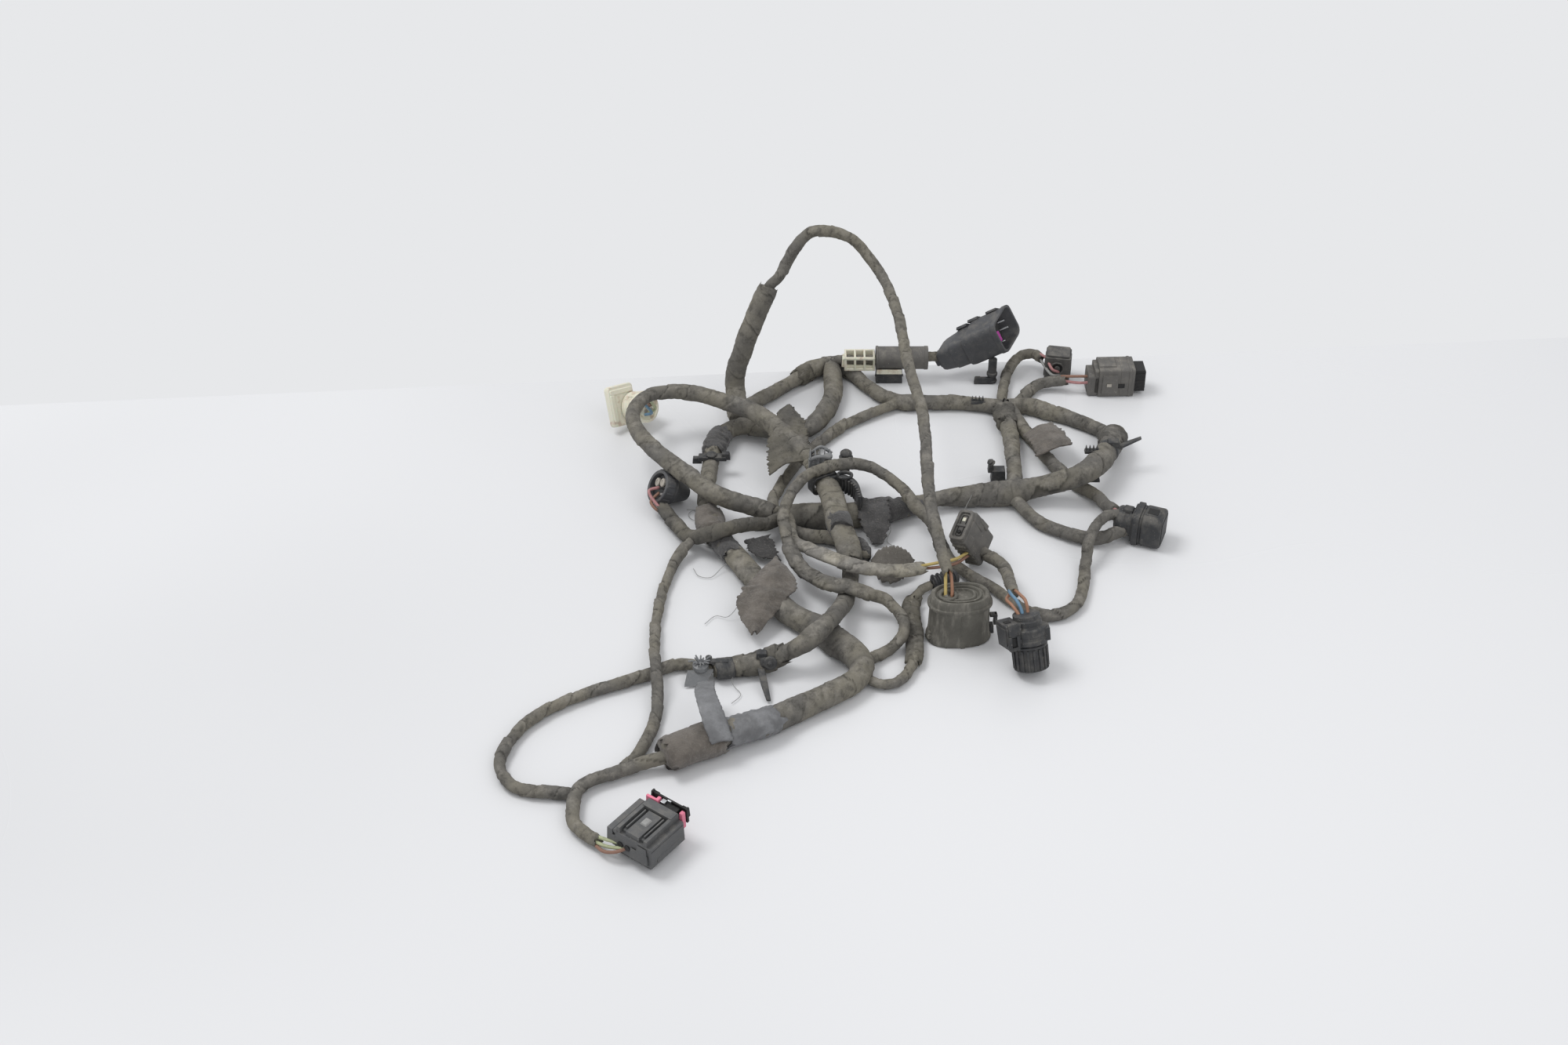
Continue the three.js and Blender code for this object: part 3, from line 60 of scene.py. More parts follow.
# Each cord: width, thickness, what its far end goes into, the points along its middle.
CORDS = {
    "main_trunk": {
        "width": 11.5,
        "swells": ((0.30, 1.2, 14), (0.68, -1.5, 55), (0.9, -0.9, 40)),
        "points": [
            (-52, -181, 8), (-47, -178, 8), (-33, -171, 8), (-18, -164, 8), (-6, -157, 7), (5, -149, 6),
            (16, -142, 6), (26, -135, 6), (33, -128, 6), (36, -120, 6), (33, -111, 6), (25, -102, 6),
            (17, -92, 6), (4, -81, 6), (-8, -65, 6), (-20, -44, 6), (-31, -24, 6), (-38, -4, 6),
            (-40, 17, 6), (-39, 37, 6), (-37, 57, 6), (-31, 73, 6), (-23, 78, 6), (-12, 76, 6),
            (0, 72, 6), (13, 76, 6), (22, 91, 6), (27, 110, 6), (27, 127, 6), (27, 136, 6),
        ],
    },
    "upper_loop": {
        "width": 9,
        "swells": ((0.02, 0.8, 9), (0.5, -1.0, 48), (0.9, 0.9, 16)),
        "points": [
            (-6, -4, 9), (-17, -2, 12), (-28, -2, 16), (-38, 2, 19), (-48, 10, 22), (-60, 20, 25),
            (-71, 34, 26), (-78, 48, 27), (-79, 60, 28), (-75, 71, 28), (-68, 77, 28), (-58, 80, 27),
            (-45, 79, 26), (-30, 74, 24), (-16, 68, 22), (-4, 56, 20), (5, 44, 18), (13, 33, 17), (16, 29, 17),
        ],
    },
    "flat_run": {
        "width": 12,
        "thickness": 7,
        "points": [(15, 30, 17), (22, 11, 16), (25, -4, 16), (27, -19, 15), (31, -31, 12), (33, -42, 9)],
    },
    "tape_run": {
        "width": 8,
        "swells": ((0.62, 0.9, 8), (0.9, 0.6, 10)),
        "points": [
            (33, -40, 7), (32, -58, 5), (29, -74, 8), (23, -95, 16), (16, -108, 18), (7, -114, 14),
            (-5, -115, 8), (-18, -117, 5), (-32, -120, 5),
        ],
    },
    "front_loop": {
        "width": 5.4,
        "points": [
            (-34, -119, 4), (-48, -114, 3), (-61, -120, 3), (-73, -126, 3), (-92, -135, 3), (-107, -145, 3),
            (-117, -155, 3), (-123, -167, 3), (-126, -178, 3), (-124, -188, 3), (-118, -196, 3),
            (-106, -199, 3), (-93, -200, 3),
        ],
    },
    "front_lead": {
        "width": 6,
        "end": "connector",
        "points": [
            (-51, -181, 7), (-62, -183, 5), (-74, -188, 4), (-84, -193, 4), (-90, -199, 4), (-91, -210, 4),
            (-90, -219, 4), (-84, -226, 4), (-79, -230, 4),
        ],
    },
    "left_drop": {
        "width": 5,
        "points": [
            (-46, -25, 8), (-53, -34, 4), (-58, -53, 3), (-61, -78, 3), (-61, -104, 5), (-59, -126, 10),
            (-58, -136, 6), (-58, -148, 3), (-61, -164, 3), (-66, -177, 3), (-71, -185, 4),
        ],
    },
    "cross_run": {
        "width": 7,
        "finish": "clean_tape",
        "points": [
            (-62, 4, 6), (-56, -6, 5), (-47, -21, 7), (-38, -27, 13), (-29, -28, 17), (-18, -20, 14),
            (-8, -13, 9), (-1, -6, 8),
        ],
    },
    "rear_run": {
        "width": 7.6,
        "swells": ((0.22, 1.5, 10), (0.3, 1.2, 7), (0.52, 0.8, 6), (0.82, 0.9, 9)),
        "points": [
            (-21, 97, 6), (-8, 112, 4), (3, 123, 4), (14, 134, 5), (26, 141, 5), (36, 136, 4),
            (45, 122, 4), (55, 110, 4), (64, 104, 4), (77, 104, 4), (95, 104, 4), (120, 100, 4),
            (133, 100, 4), (144, 95, 4), (155, 89, 4), (167, 80, 4), (174, 72, 5),
        ],
    },
    "right_trunk": {
        "width": 11,
        "swells": ((0.06, 0.9, 8), (0.2, 0.6, 10), (0.47, 1.5, 11), (0.64, -1.7, 12), (0.9, 1.2, 14)),
        "points": [
            (175, 71, 6), (174, 60, 9), (169, 44, 13), (159, 27, 15), (148, 18, 15), (136, 19, 10),
            (117, 18, 6), (98, 15, 6), (80, 12, 6), (64, 6, 6), (48, 1, 6), (32, -2, 6), (16, -2, 6),
            (1, -2, 6),
        ],
    },
    "diagonal_link": {
        "width": 5.6,
        "points": [
            (61, 103, 4), (45, 93, 3), (32, 83, 3), (19, 67, 3), (7, 48, 3), (-1, 30, 3), (-6, 12, 3),
            (-3, 1, 4),
        ],
    },
    "short_link": {
        "width": 9,
        "swells": ((0.6, -0.6, 30),),
        "points": [(119, 98, 5), (121, 75, 5), (121, 53, 5), (120, 30, 5), (119, 20, 6)],
    },
    "outer_link": {
        "width": 6.6,
        "end": "connector",
        "points": [
            (124, 98, 4), (128, 82, 4), (134, 65, 4), (142, 45, 4), (152, 28, 4), (161, 18, 4),
            (165, 6, 6), (168, -2, 9),
        ],
    },
    "inner_link": {
        "width": 6.6,
        "points": [(118, 14, 5), (128, -3, 4), (139, -12, 4), (151, -18, 4), (160, -19, 5), (173, -14, 7)],
    },
    "long_lead": {
        "width": 5.4,
        "swells": ((0.2, 0.9, 14), (0.55, 0.5, 9)),
        "points": [
            (37, -115, 5), (45, -107, 3), (52, -102, 4), (56, -98, 7), (57, -91, 9), (54, -82, 9),
            (49, -75, 10), (41, -73, 12), (31, -71, 15), (23, -68, 14), (16, -60, 11), (9, -54, 12),
            (4, -45, 14), (1, -31, 16), (0, -16, 18), (5, 0, 21), (13, 9, 24), (24, 16, 24),
            (34, 21, 22), (44, 21, 20), (52, 16, 18), (60, 8, 16), (66, -5, 15), (74, -14, 10),
            (78, -24, 6), (82, -37, 5), (93, -50, 4), (103, -58, 3), (110, -67, 3), (120, -76, 3),
            (130, -78, 3), (140, -72, 3), (146, -57, 3), (149, -41, 4), (151, -32, 11), (156, -20, 13),
            (162, -12, 13), (173, -10, 13),
        ],
    },
    "under_branch": {
        "width": 4.6,
        "points": [
            (36, -122, 4), (44, -128, 3), (52, -127, 3), (58, -119, 3), (62, -105, 3), (62, -92, 3),
            (61, -79, 3), (62, -68, 3), (67, -60, 4), (72, -56, 4),
        ],
    },
    "yellow_lead": {
        "width": 7.6,
        "thickness": 5,
        "finish": "pale_tape",
        "end": "connector",
        "points": [
            (1, -10, 11), (4, -28, 10), (12, -37, 12), (20, -47, 15), (30, -54, 16), (40, -58, 16),
            (49, -58, 15), (59, -56, 13), (68, -51, 11),
        ],
    },
    "short_stub": {
        "width": 6.6,
        "points": [(2, -5, 4), (5, -13, 4), (12, -16, 4), (23, -18, 4), (31, -21, 4), (38, -26, 4), (40, -35, 4)],
    },
    "corner_lead": {
        "width": 5.4,
        "end": "connector",
        "points": [
            (95, -32, 8), (101, -38, 8), (106, -45, 9), (108, -56, 13), (108, -70, 18), (108, -82, 23),
            (108, -91, 27),
        ],
    },
    "back_lead_a": {
        "width": 5.6,
        "end": "connector",
        "points": [(126, 101, 3), (133, 113, 3), (140, 121, 4), (149, 122, 6), (156, 120, 8)],
    },
    "back_lead_b": {
        "width": 5.6,
        "end": "connector",
        "points": [(119, 102, 3), (122, 122, 3), (126, 137, 4), (133, 146, 7), (140, 144, 10), (144, 139, 10)],
    },
    "socket_lead": {
        "width": 5.4,
        "points": [(28, 136, 11), (34, 135, 12), (45, 134, 12), (60, 134, 14), (78, 135, 14), (90, 137, 13)],
    },
    "arch_foot": {
        "width": 10.5,
        "node": "arch",
        "swells": ((0.0, 0.9, 12), (0.5, -0.2, 10), (0.93, 0.3, 6)),
        "points": [
            (-24, 85, 7), (-26, 100, 8), (-27, 107, 12), (-26, 109, 22), (-23, 109, 32), (-20, 111, 42),
            (-16, 114, 51), (-12, 117, 60), (-8, 120, 68),
        ],
    },
    "arch_branch": {
        "width": 5.6,
        "node": "arch",
        "end": "connector",
        "points": [
            (-12, 117, 60), (-8, 120, 68), (-2, 120, 75), (1, 124, 80), (5, 125, 87), (10, 126, 94),
            (15, 126, 98), (23, 125, 99), (32, 124, 97), (39, 124, 92), (45, 120, 86), (52, 112, 79),
            (58, 95, 73), (61, 77, 68), (63, 57, 64), (66, 38, 60), (69, 20, 57), (70, 4, 54), (70, -16, 51),
            (70, -34, 48), (71, -49, 45), (73, -64, 42), (75, -77, 38), (77, -84, 34),
        ],
    },
}

# Bare wires at the cords' ends: cord, insulation colour, points.
WIRES = {
    "front_wire_green_a": ("front_lead", "green_wire", [(-82, -227, 5), (-75, -232, 7), (-68, -235, 8), (-61, -235, 8)]),
    "front_wire_green_b": ("front_lead", "green_wire", [(-82, -229, 4), (-75, -234, 5), (-68, -237, 7), (-61, -237, 7)]),
    "front_wire_brown": ("front_lead", "brown_wire", [(-81, -230, 3), (-76, -236, 4), (-70, -238, 6), (-62, -236, 9)]),
    "cream_wire_brown": ("upper_loop", "brown_wire", [(-73, 72, 26), (-72, 76, 22), (-71, 81, 18), (-75, 86, 13)]),
    "cream_wire_green": ("upper_loop", "green_wire", [(-71, 73, 26), (-70, 77, 21), (-69, 80, 16), (-73, 84, 11)]),
    "cream_wire_blue": ("upper_loop", "blue_wire", [(-75, 71, 26), (-73, 76, 20), (-71, 79, 14), (-76, 83, 10)]),
    "oval_wire_pink": ("cross_run", "pink_wire", [(-60, 1, 6), (-65, 5, 8), (-69, 11, 12), (-64, 14, 12)]),
    "oval_wire_brown": ("cross_run", "brown_wire", [(-60, 1, 5), (-64, 3, 5), (-68, 7, 8), (-64, 12, 10)]),
    "boot_wire_yellow": ("arch_branch", "yellow_wire", [(76, -81, 36), (76, -87, 29), (76, -90, 24), (76, -90, 18)]),
    "boot_wire_brown": ("arch_branch", "orange_wire", [(78, -81, 36), (79, -87, 29), (79, -90, 24), (78, -90, 18)]),
    "round_wire_blue": (
        "corner_lead", "blue_wire", [(106, -88, 26), (106, -97, 31), (108, -103, 32), (110, -106, 29), (111, -109, 25)]),
    "round_wire_orange": (
        "corner_lead", "orange_wire", [(108, -88, 27), (110, -97, 31), (112, -103, 32), (113, -106, 28), (113, -109, 24)]),
    "round_wire_amber": (
        "corner_lead", "orange_wire", [(107, -88, 25), (104, -97, 28), (106, -104, 30), (109, -108, 27), (110, -110, 24)]),
    "slab_wire_yellow": ("yellow_lead", "yellow_wire", [(65, -53, 13), (75, -50, 13), (84, -47, 13), (92, -40, 13)]),
    "slab_wire_brown": ("yellow_lead", "brown_wire", [(65, -52, 11), (75, -51, 11), (84, -48, 11), (92, -40, 11)]),
    "right_wire_pink": ("outer_link", "pink_wire", [(167, 0, 9), (168, -4, 11), (172, -8, 11)]),
    "right_wire_brown": ("outer_link", "brown_wire", [(167, 1, 7), (169, -4, 8), (173, -9, 8)]),
    "rear_right_wire_brown": ("back_lead_a", "brown_wire", [(153, 121, 10), (163, 121, 10), (174, 121, 10)]),
    "rear_right_wire_pale": ("back_lead_a", "pink_wire", [(153, 120, 8), (163, 119, 7), (174, 119, 8)]),
    "rear_middle_wire_pink": ("back_lead_b", "pink_wire", [(143, 141, 12), (146, 135, 13), (149, 128, 10), (153, 130, 7)]),
    "rear_middle_wire_grey": ("back_lead_b", "grey_wire", [(143, 140, 10), (145, 134, 9), (149, 127, 7), (154, 130, 5)]),
}

# Loose threads of the felt and the tape: cord, points.
THREADS = {
    "thread_coil": ("main_trunk", [
        (-41, 2, 5), (-43, 6, 1.5), (-47, 9, 0.8), (-49, 5, 0.8), (-46, 1, 0.8), (-42, 4, 0.9), (-44, 9, 0.8), (-50, 10, 0.8)]),
    "thread_left": ("main_trunk", [(-30, -24, 9), (-37, -22, 3), (-43, -18, 0.8), (-50, -22, 0.8), (-54, -30, 0.8)]),
    "thread_low": ("main_trunk", [(-22, -40, 9), (-30, -40, 3), (-36, -46, 0.8), (-42, -45, 0.8), (-45, -39, 0.8)]),
    "thread_flag": ("main_trunk", [(-20, -74, 9), (-27, -78, 2), (-33, -76, 0.8), (-38, -82, 0.8)]),
    "thread_front": ("tape_run", [(-22, -119, 9), (-24, -126, 2), (-20, -133, 0.8), (-24, -139, 0.8)]),
    "thread_rear": ("rear_run", [(36, 137, 7), (41, 143, 2), (47, 144, 0.8), (50, 149, 0.8)]),
    "thread_right": ("right_trunk", [(50, -4, 10), (54, -10, 4), (52, -17, 0.8), (57, -22, 0.8)]),
    "thread_middle": ("right_trunk", [(96, 10, 10), (92, 3, 3), (96, -4, 0.8), (92, -10, 0.8)]),
}


def rgb(red, green, blue):
    """A colour read from 0 to 255, as linear light."""
    return tuple((value / 255 / 12.92) if value <= 10 else ((value / 255 + 0.055) / 1.055) ** 2.4
                 for value in (red, green, blue))


def colour_setting(name, description, default):
    return bpy.props.FloatVectorProperty(
        name=name, description=description, default=default, size=3, min=0.0, max=1.0, subtype="COLOR")


def length_setting(name, description, default):
    return bpy.props.FloatProperty(
        name=name, description=description, default=default, min=0.0, unit="LENGTH", subtype="DISTANCE")


class HarnessColours(bpy.types.PropertyGroup):
    """Colours of the harness and of what it lies on."""

    tape: colour_setting("Cloth tape", "The winding of the cords", rgb(104, 102, 98))
    # Painted highlight: the tape's lit tone, laid in patches.
    tape_highlight: colour_setting("Tape highlight", "Worn, olive patches of the winding", rgb(125, 121, 110))
    # Painted shade: the tape's shaded tone, laid in patches, under the tape edges and in creases.
    tape_shade: colour_setting("Tape shade", "The winding where it is clean and dark", rgb(70, 68, 65))
    # Also the tone of the painted highlight along the tape's raised edges.
    dust: colour_setting("Dust", "Dry dust on upper faces", rgb(147, 143, 135))
    felt: colour_setting("Felt", "Felt sleeve and flags", rgb(112, 106, 99))
    black_plastic: colour_setting("Black plastic", "Sealed connectors and clips", rgb(56, 57, 59))
    grey_plastic: colour_setting("Grey plastic", "Dusty grey housings", rgb(101, 99, 96))
    boot_rubber: colour_setting("Boot rubber", "The oval boot", rgb(110, 108, 101))
    cream_plastic: colour_setting("Cream plastic", "The cream connector and socket base", rgb(224, 221, 203))
    cream_stain: colour_setting("Cream stain", "Brown stain on the cream connector", rgb(186, 164, 146))
    pink_plastic: colour_setting("Pink lock", "The front connector's lock", rgb(236, 132, 158))
    magenta_seal: colour_setting("Magenta seal", "The rear plug's seal", rgb(172, 58, 150))
    clear_tape: colour_setting("Grey tape", "Translucent grey tape", rgb(112, 113, 115))
    floor: colour_setting("Floor", "The floor that it lies on", rgb(229, 230, 232))
    wall: colour_setting("Background", "What the camera sees behind the floor", rgb(231, 232, 234))


class HarnessSizes(bpy.types.PropertyGroup):
    """Sizes of the winding, the wires and the stage."""

    tape_pitch: length_setting("Tape pitch", "Way along a cord from one turn of tape to the next", 0.0135)
    tape_edge: length_setting("Tape edge", "Step where one turn of tape lies on the last", 0.0004)
    ring_step: length_setting("Ring step", "Length of the cords' mesh faces", 0.0008)
    wire_width: length_setting("Wire", "Width of a bare wire over its insulation", 0.0016)
    hair_width: length_setting("Hair", "Width of a loose thread", 0.0003)
    floor_reach: length_setting("Floor reach", "How far the floor goes towards the camera and the sides", 3.0)


def colours():
    return bpy.context.scene.harness_colours


def sizes():
    return bpy.context.scene.harness_sizes


def placed(point):
    """A place in millimetres from the camera's aim, as metres in the row's frame."""
    return (Vector(point) - ROW_CENTRE) * MM


def at_pixel(across, down, height):
    """The place at that height, in millimetres, that the camera sees at a pixel of the photograph."""
    focal = PHOTO_WIDTH / 2 / math.tan(CAMERA_FIELD / 2)
    cosine, sine = math.cos(CAMERA_ELEVATION), math.sin(CAMERA_ELEVATION)
    right = (across - PHOTO_WIDTH / 2) / focal
    up = (PHOTO_HEIGHT / 2 - down) / focal
    ray = Vector((right, cosine + up * sine, up * cosine - sine))
    eye = Vector((0, -CAMERA_DISTANCE * cosine, CAMERA_DISTANCE * sine))
    return eye + ray * ((height - eye.z) / ray.z)


def smooth_line(points, step):
    """Places spaced by step along a centripetal curve through the points."""
    given = [np.array(point, float) for point in points]
    given = [2 * given[0] - given[1]] + given + [2 * given[-1] - given[-2]]
    fine = []
    for a, b, c, d in zip(given, given[1:], given[2:], given[3:]):
        t0, t1, t2 = (max(math.sqrt(np.linalg.norm(q - p)), 1e-4) for p, q in ((a, b), (b, c), (c, d)))
        start = ((b - a) / t0 - (c - a) / (t0 + t1) + (c - b) / t1) * t1
        end = ((c - b) / t1 - (d - b) / (t1 + t2) + (d - c) / t2) * t1
        for share in np.linspace(0, 1, 24, endpoint=False):
            square, cube = share ** 2, share ** 3
            fine.append((2 * cube - 3 * square + 1) * b + (cube - 2 * square + share) * start
                        + (3 * square - 2 * cube) * c + (cube - square) * end)
    fine = np.array(fine + [given[-2]])
    run = np.concatenate([[0], np.cumsum(np.linalg.norm(np.diff(fine, axis=0), axis=1))])
    count = max(3, int(round(run[-1] / step)) + 1)
    return np.stack([np.interp(np.linspace(0, run[-1], count), run, fine[:, i]) for i in range(3)], axis=1)


def line_length(line):
    return float(np.linalg.norm(np.diff(line, axis=0), axis=1).sum())


def ring_frames(line, level):
    """Two directions across the line at each place. A level line keeps its first one flat."""
    along = np.gradient(line, axis=0)
    along /= np.linalg.norm(along, axis=1)[:, None]
    up = np.array((0.0, 0.0, 1.0))
    side = np.cross(along[0], up)
    if np.linalg.norm(side) < 0.2:
        side = np.array((1.0, 0.0, 0.0))
    sides = []
    for direction in along:
        if level:
            side = np.cross(direction, up)
        side = side - direction * side.dot(direction)
        side = side / np.linalg.norm(side)
        sides.append(side)
    sides = np.array(sides)
    return along, sides, np.cross(sides, along)


def show(name, points, faces, material, nodes, relief=None, smooth=True):
    """Makes a piece from places in metres, puts it on the frame and gives it its finish."""
    mesh = bpy.data.meshes.new(name)
    mesh.from_pydata([tuple(point) for point in points], [], faces)
    mesh.validate()
    # Per-point values that a finish reads; the taped cords keep their painted shade and painted highlight along the
    # tape edges here.
    for key, values in (relief or {}).items():
        mesh.attributes.new(key, "FLOAT", "POINT").data.foreach_set("value", np.asarray(values, np.float32))
    if smooth:
        mesh.shade_smooth()
    thing = bpy.data.objects.new(name, mesh)
    bpy.context.scene.collection.objects.link(thing)
    mesh.materials.append(finish(material))
    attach(thing, "root")
    if nodes:
        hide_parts(*nodes)
    return thing


class Winding:
    """The relief of tape wound round a cord: steps, loose turns, lumps and creases."""

    def __init__(self, seed, pitch, edge, lump=0.06, crease=0.22, swells=(), hand=1, fuzz=0.22):
        self.pitch, self.edge, self.lump, self.crease, self.hand = pitch, edge, lump, crease, hand
        self.fuzz = fuzz
        self.swells = swells
        self.shift = seed * 7.31
        chance = random.Random(seed)
        self.turns = [chance.uniform(-0.5, 0.5) for _ in range(200)]

    def __call__(self, way, angle, radius, length):
        """How far the surface stands out there in millimetres; its painted shade, partly dirt, under each tape edge and
        in the creases; and its painted highlight, partly wear, along each raised edge.
        """
        spot = Vector((way / 16 + self.shift, math.cos(angle) * 0.9, math.sin(angle) * 0.9))
        wander = noise.noise(Vector((way / 34, self.shift, 0.3))) * 1.2
        slant = noise.noise(Vector((way / 21, self.shift, math.cos(angle) * 0.8))) * 0.3
        phase = way / self.pitch - self.hand * angle / math.tau + wander + slant + 50
        turn, part = int(phase), phase - int(phase)
        firm = 0.6 + self.turns[(turn * 7 + 3) % 200]
        out = self.edge * firm * (1.15 - 1.3 * part) + self.turns[turn % 200] * self.edge * 1.1
        out += self.fuzz * noise.noise(Vector((way / 1.7, radius * math.cos(angle) / 1.3 + self.shift,
                                               radius * math.sin(angle) / 1.3)))
        out += radius * self.lump * 1.6 * noise.noise(spot)
        out += radius * self.lump * 0.6 * math.cos(2 * angle + way / 31 + self.shift)
        fold = noise.noise(Vector((way / 2.1 + self.shift, angle * 1.3 + turn * 2.2, self.shift)))
        out -= self.crease * max(0.0, fold - 0.12) * 1.9
        for share, extra, reach in self.swells:
            out += extra * math.exp(-(((way - share * length) / reach) ** 2))
        # Painted highlight, partly wear: a pale line along each raised tape edge. Painted shade, partly dirt: a dark
        # line just below the next edge, and more in the creases.
        rim = firm * math.exp(-((part * self.pitch / 0.8) ** 2))
        seam = firm * math.exp(-(((1 - part) * self.pitch / 0.9) ** 2))
        return out, min(1.0, seam + max(0.0, fold - 0.25)), rim


def taped_tube(name, line, width, thickness, winding, material, nodes, sides=22, rag=1.3, seed=1):
    """A closed tube along a line in millimetres, with ragged ends."""
    flat = thickness < width * 0.9
    along, across, upright = ring_frames(line, flat)
    length = line_length(line)
    ways = np.linspace(0, length, len(line))
    chance = random.Random(seed)
    start_rag = [chance.uniform(-rag, rag) for _ in range(sides)]
    end_rag = [chance.uniform(-rag, rag) for _ in range(sides)]
    # Per point: painted shade, partly dirt, and painted highlight, partly wear, along the tape edges.
    points, seam_shades_and_dirt, rim_highlights_and_wear = [], [], []
    for index, (centre, way) in enumerate(zip(line, ways)):
        near_start, near_end = math.exp(-way / 1.6), math.exp(-(length - way) / 1.6)
        for side in range(sides):
            angle = side / sides * math.tau
            out, seam, rim = winding(way, angle, width / 2, length)
            pull = 1 - 0.1 * (near_start + near_end)
            a = (width / 2 + out) * pull * math.cos(angle)
            b = (thickness / 2 + out) * pull * math.sin(angle)
            slide = start_rag[side] * near_start + end_rag[side] * near_end
            points.append(centre + across[index] * a + upright[index] * b + along[index] * slide)
            seam_shades_and_dirt.append(seam)
            rim_highlights_and_wear.append(rim)
    faces = tube_faces(len(line), sides)
    low = 0.25
    metres = [placed((x, y, max(low, z))) for x, y, z in points]
    return show(name, metres, faces, material, nodes, {"seam": seam_shades_and_dirt, "rim": rim_highlights_and_wear})


def tube_faces(rows, sides, closed=True):
    faces = []
    for row in range(rows - 1):
        for side in range(sides):
            a, b = row * sides + side, row * sides + (side + 1) % sides
            faces.append((a, b, b + sides, a + sides))
    if closed:
        faces.append(tuple(range(sides))[::-1])
        faces.append(tuple(range((rows - 1) * sides, rows * sides)))
    return faces


def thin_tube(name, points, width, material, nodes, sides=10, step=0.8):
    """A smooth round strand, such as a bare wire or a thread."""
    line = smooth_line(points, step)
    _, across, upright = ring_frames(line, False)
    rows = []
    for index, centre in enumerate(line):
        for side in range(sides):
            angle = side / sides * math.tau
            rows.append(placed(centre + (across[index] * math.cos(angle) + upright[index] * math.sin(angle)) * width / 2))
    return show(name, rows, tube_faces(len(line), sides), material, nodes)


class Socket:
    """An output of a material's graph. Arithmetic on it adds the nodes that work it out."""

    def __init__(self, graph, output):
        self.graph = graph
        self.output = output

    def _with(self, operation, first, second):
        kinds = [x.output.type if isinstance(x, Socket) else "VALUE" for x in (first, second)]
        if "RGBA" in kinds:
            pair = [x if isinstance(x, Socket) else (x, x, x, 1.0) for x in (first, second)]
            settings = {"data_type": "RGBA", "blend_type": operation}
            return self.graph.node("ShaderNodeMix", settings, {"Factor": 1.0, "A": pair[0], "B": pair[1]})
        if "VECTOR" in kinds:
            pair = [x if isinstance(x, Socket) else (x, x, x) for x in (first, second)]
            return self.graph.node("ShaderNodeVectorMath", {"operation": operation}, {0: pair[0], 1: pair[1]})
        return self.graph.node("ShaderNodeMath", {"operation": operation}, {0: first, 1: second})

    def __add__(self, other):
        return self._with("ADD", self, other)

    def __radd__(self, other):
        return self._with("ADD", other, self)

    def __sub__(self, other):
        return self._with("SUBTRACT", self, other)

    def __rsub__(self, other):
        return self._with("SUBTRACT", other, self)

    def __mul__(self, other):
        return self._with("MULTIPLY", self, other)

    def __rmul__(self, other):
        return self._with("MULTIPLY", other, self)

    def __truediv__(self, other):
        return self._with("DIVIDE", self, other)

    def __rtruediv__(self, other):
        return self._with("DIVIDE", other, self)


class Graph:
    """A material's nodes, with one Principled shader."""

    def __init__(self, name, **steady):
        self.material = bpy.data.materials.new(name)
        self.material.use_nodes = True
        self.tree = self.material.node_tree
        self.tree.nodes.clear()
        self.output = self.tree.nodes.new("ShaderNodeOutputMaterial")
        self.shader = self.tree.nodes.new("ShaderNodeBsdfPrincipled")
        self.tree.links.new(self.shader.outputs["BSDF"], self.output.inputs["Surface"])
        self.feed(self.shader, {key.replace("_", " ").capitalize() if key.islower() else key: value
                                for key, value in steady.items()})

    def feed(self, node, inputs):
        for key, value in inputs.items():
            if isinstance(key, int):
                socket = node.inputs[key]
            else:
                socket = next(s for s in node.inputs if s.enabled and key in (s.name, s.identifier))
            if isinstance(value, Socket):
                self.tree.links.new(value.output, socket)
            elif hasattr(value, "__len__") and socket.type == "RGBA" and len(value) == 3:
                socket.default_value = (*value, 1.0)
            else:
                socket.default_value = value

    def node(self, kind, settings=None, inputs=None, output=None):
        """Adds a node: its settings first, then the values and links of its sockets."""
        node = self.tree.nodes.new(kind)
        for key, value in (settings or {}).items():
            if key == "stops":
                ramp = node.color_ramp
                while len(ramp.elements) < len(value):
                    ramp.elements.new(0.5)
                for element, (position, shade) in zip(ramp.elements, value):
                    element.position = position
                    element.color = (shade, shade, shade, 1.0) if isinstance(shade, (int, float)) else (*shade, 1.0)
            else:
                setattr(node, key, value)
        self.feed(node, inputs or {})
        if output:
            return Socket(self, node.outputs[output])
        return Socket(self, next(s for s in node.outputs if s.enabled))

    def place(self):
        return self.node("ShaderNodeTexCoord", output="Object")

    def cloud(self, place, scale, detail=3.0, roughness=0.55):
        return self.node("ShaderNodeTexNoise", {"noise_dimensions": "3D"},
                         {"Vector": place, "Scale": scale, "Detail": detail, "Roughness": roughness})

    def mask(self, value, low, high):
        """0 below low, 1 above high and a smooth way between them."""
        return self.node("ShaderNodeMapRange", {"interpolation_type": "SMOOTHSTEP"},
                         {"Value": value, "From Min": low, "From Max": high, "To Min": 0.0, "To Max": 1.0})

    def blend(self, factor, first, second):
        return self.node("ShaderNodeMix", {"data_type": "RGBA"}, {"Factor": factor, "A": first, "B": second})

    def upward(self):
        """1 on faces that look up and 0 on the sides and below."""
        normal = self.node("ShaderNodeNewGeometry", output="Normal")
        return self.mask(self.node("ShaderNodeSeparateXYZ", None, {0: normal}, output="Z"), 0.0, 0.95)

    def kept(self, name):
        return self.node("ShaderNodeAttribute", {"attribute_name": name}, output="Fac")

    def bump(self, height, strength, distance):
        return self.node("ShaderNodeBump", None, {"Strength": strength, "Distance": distance, "Height": height})

    def done(self, **varying):
        self.feed(self.shader, {key.replace("_", " "): value for key, value in varying.items()})
        return self.material


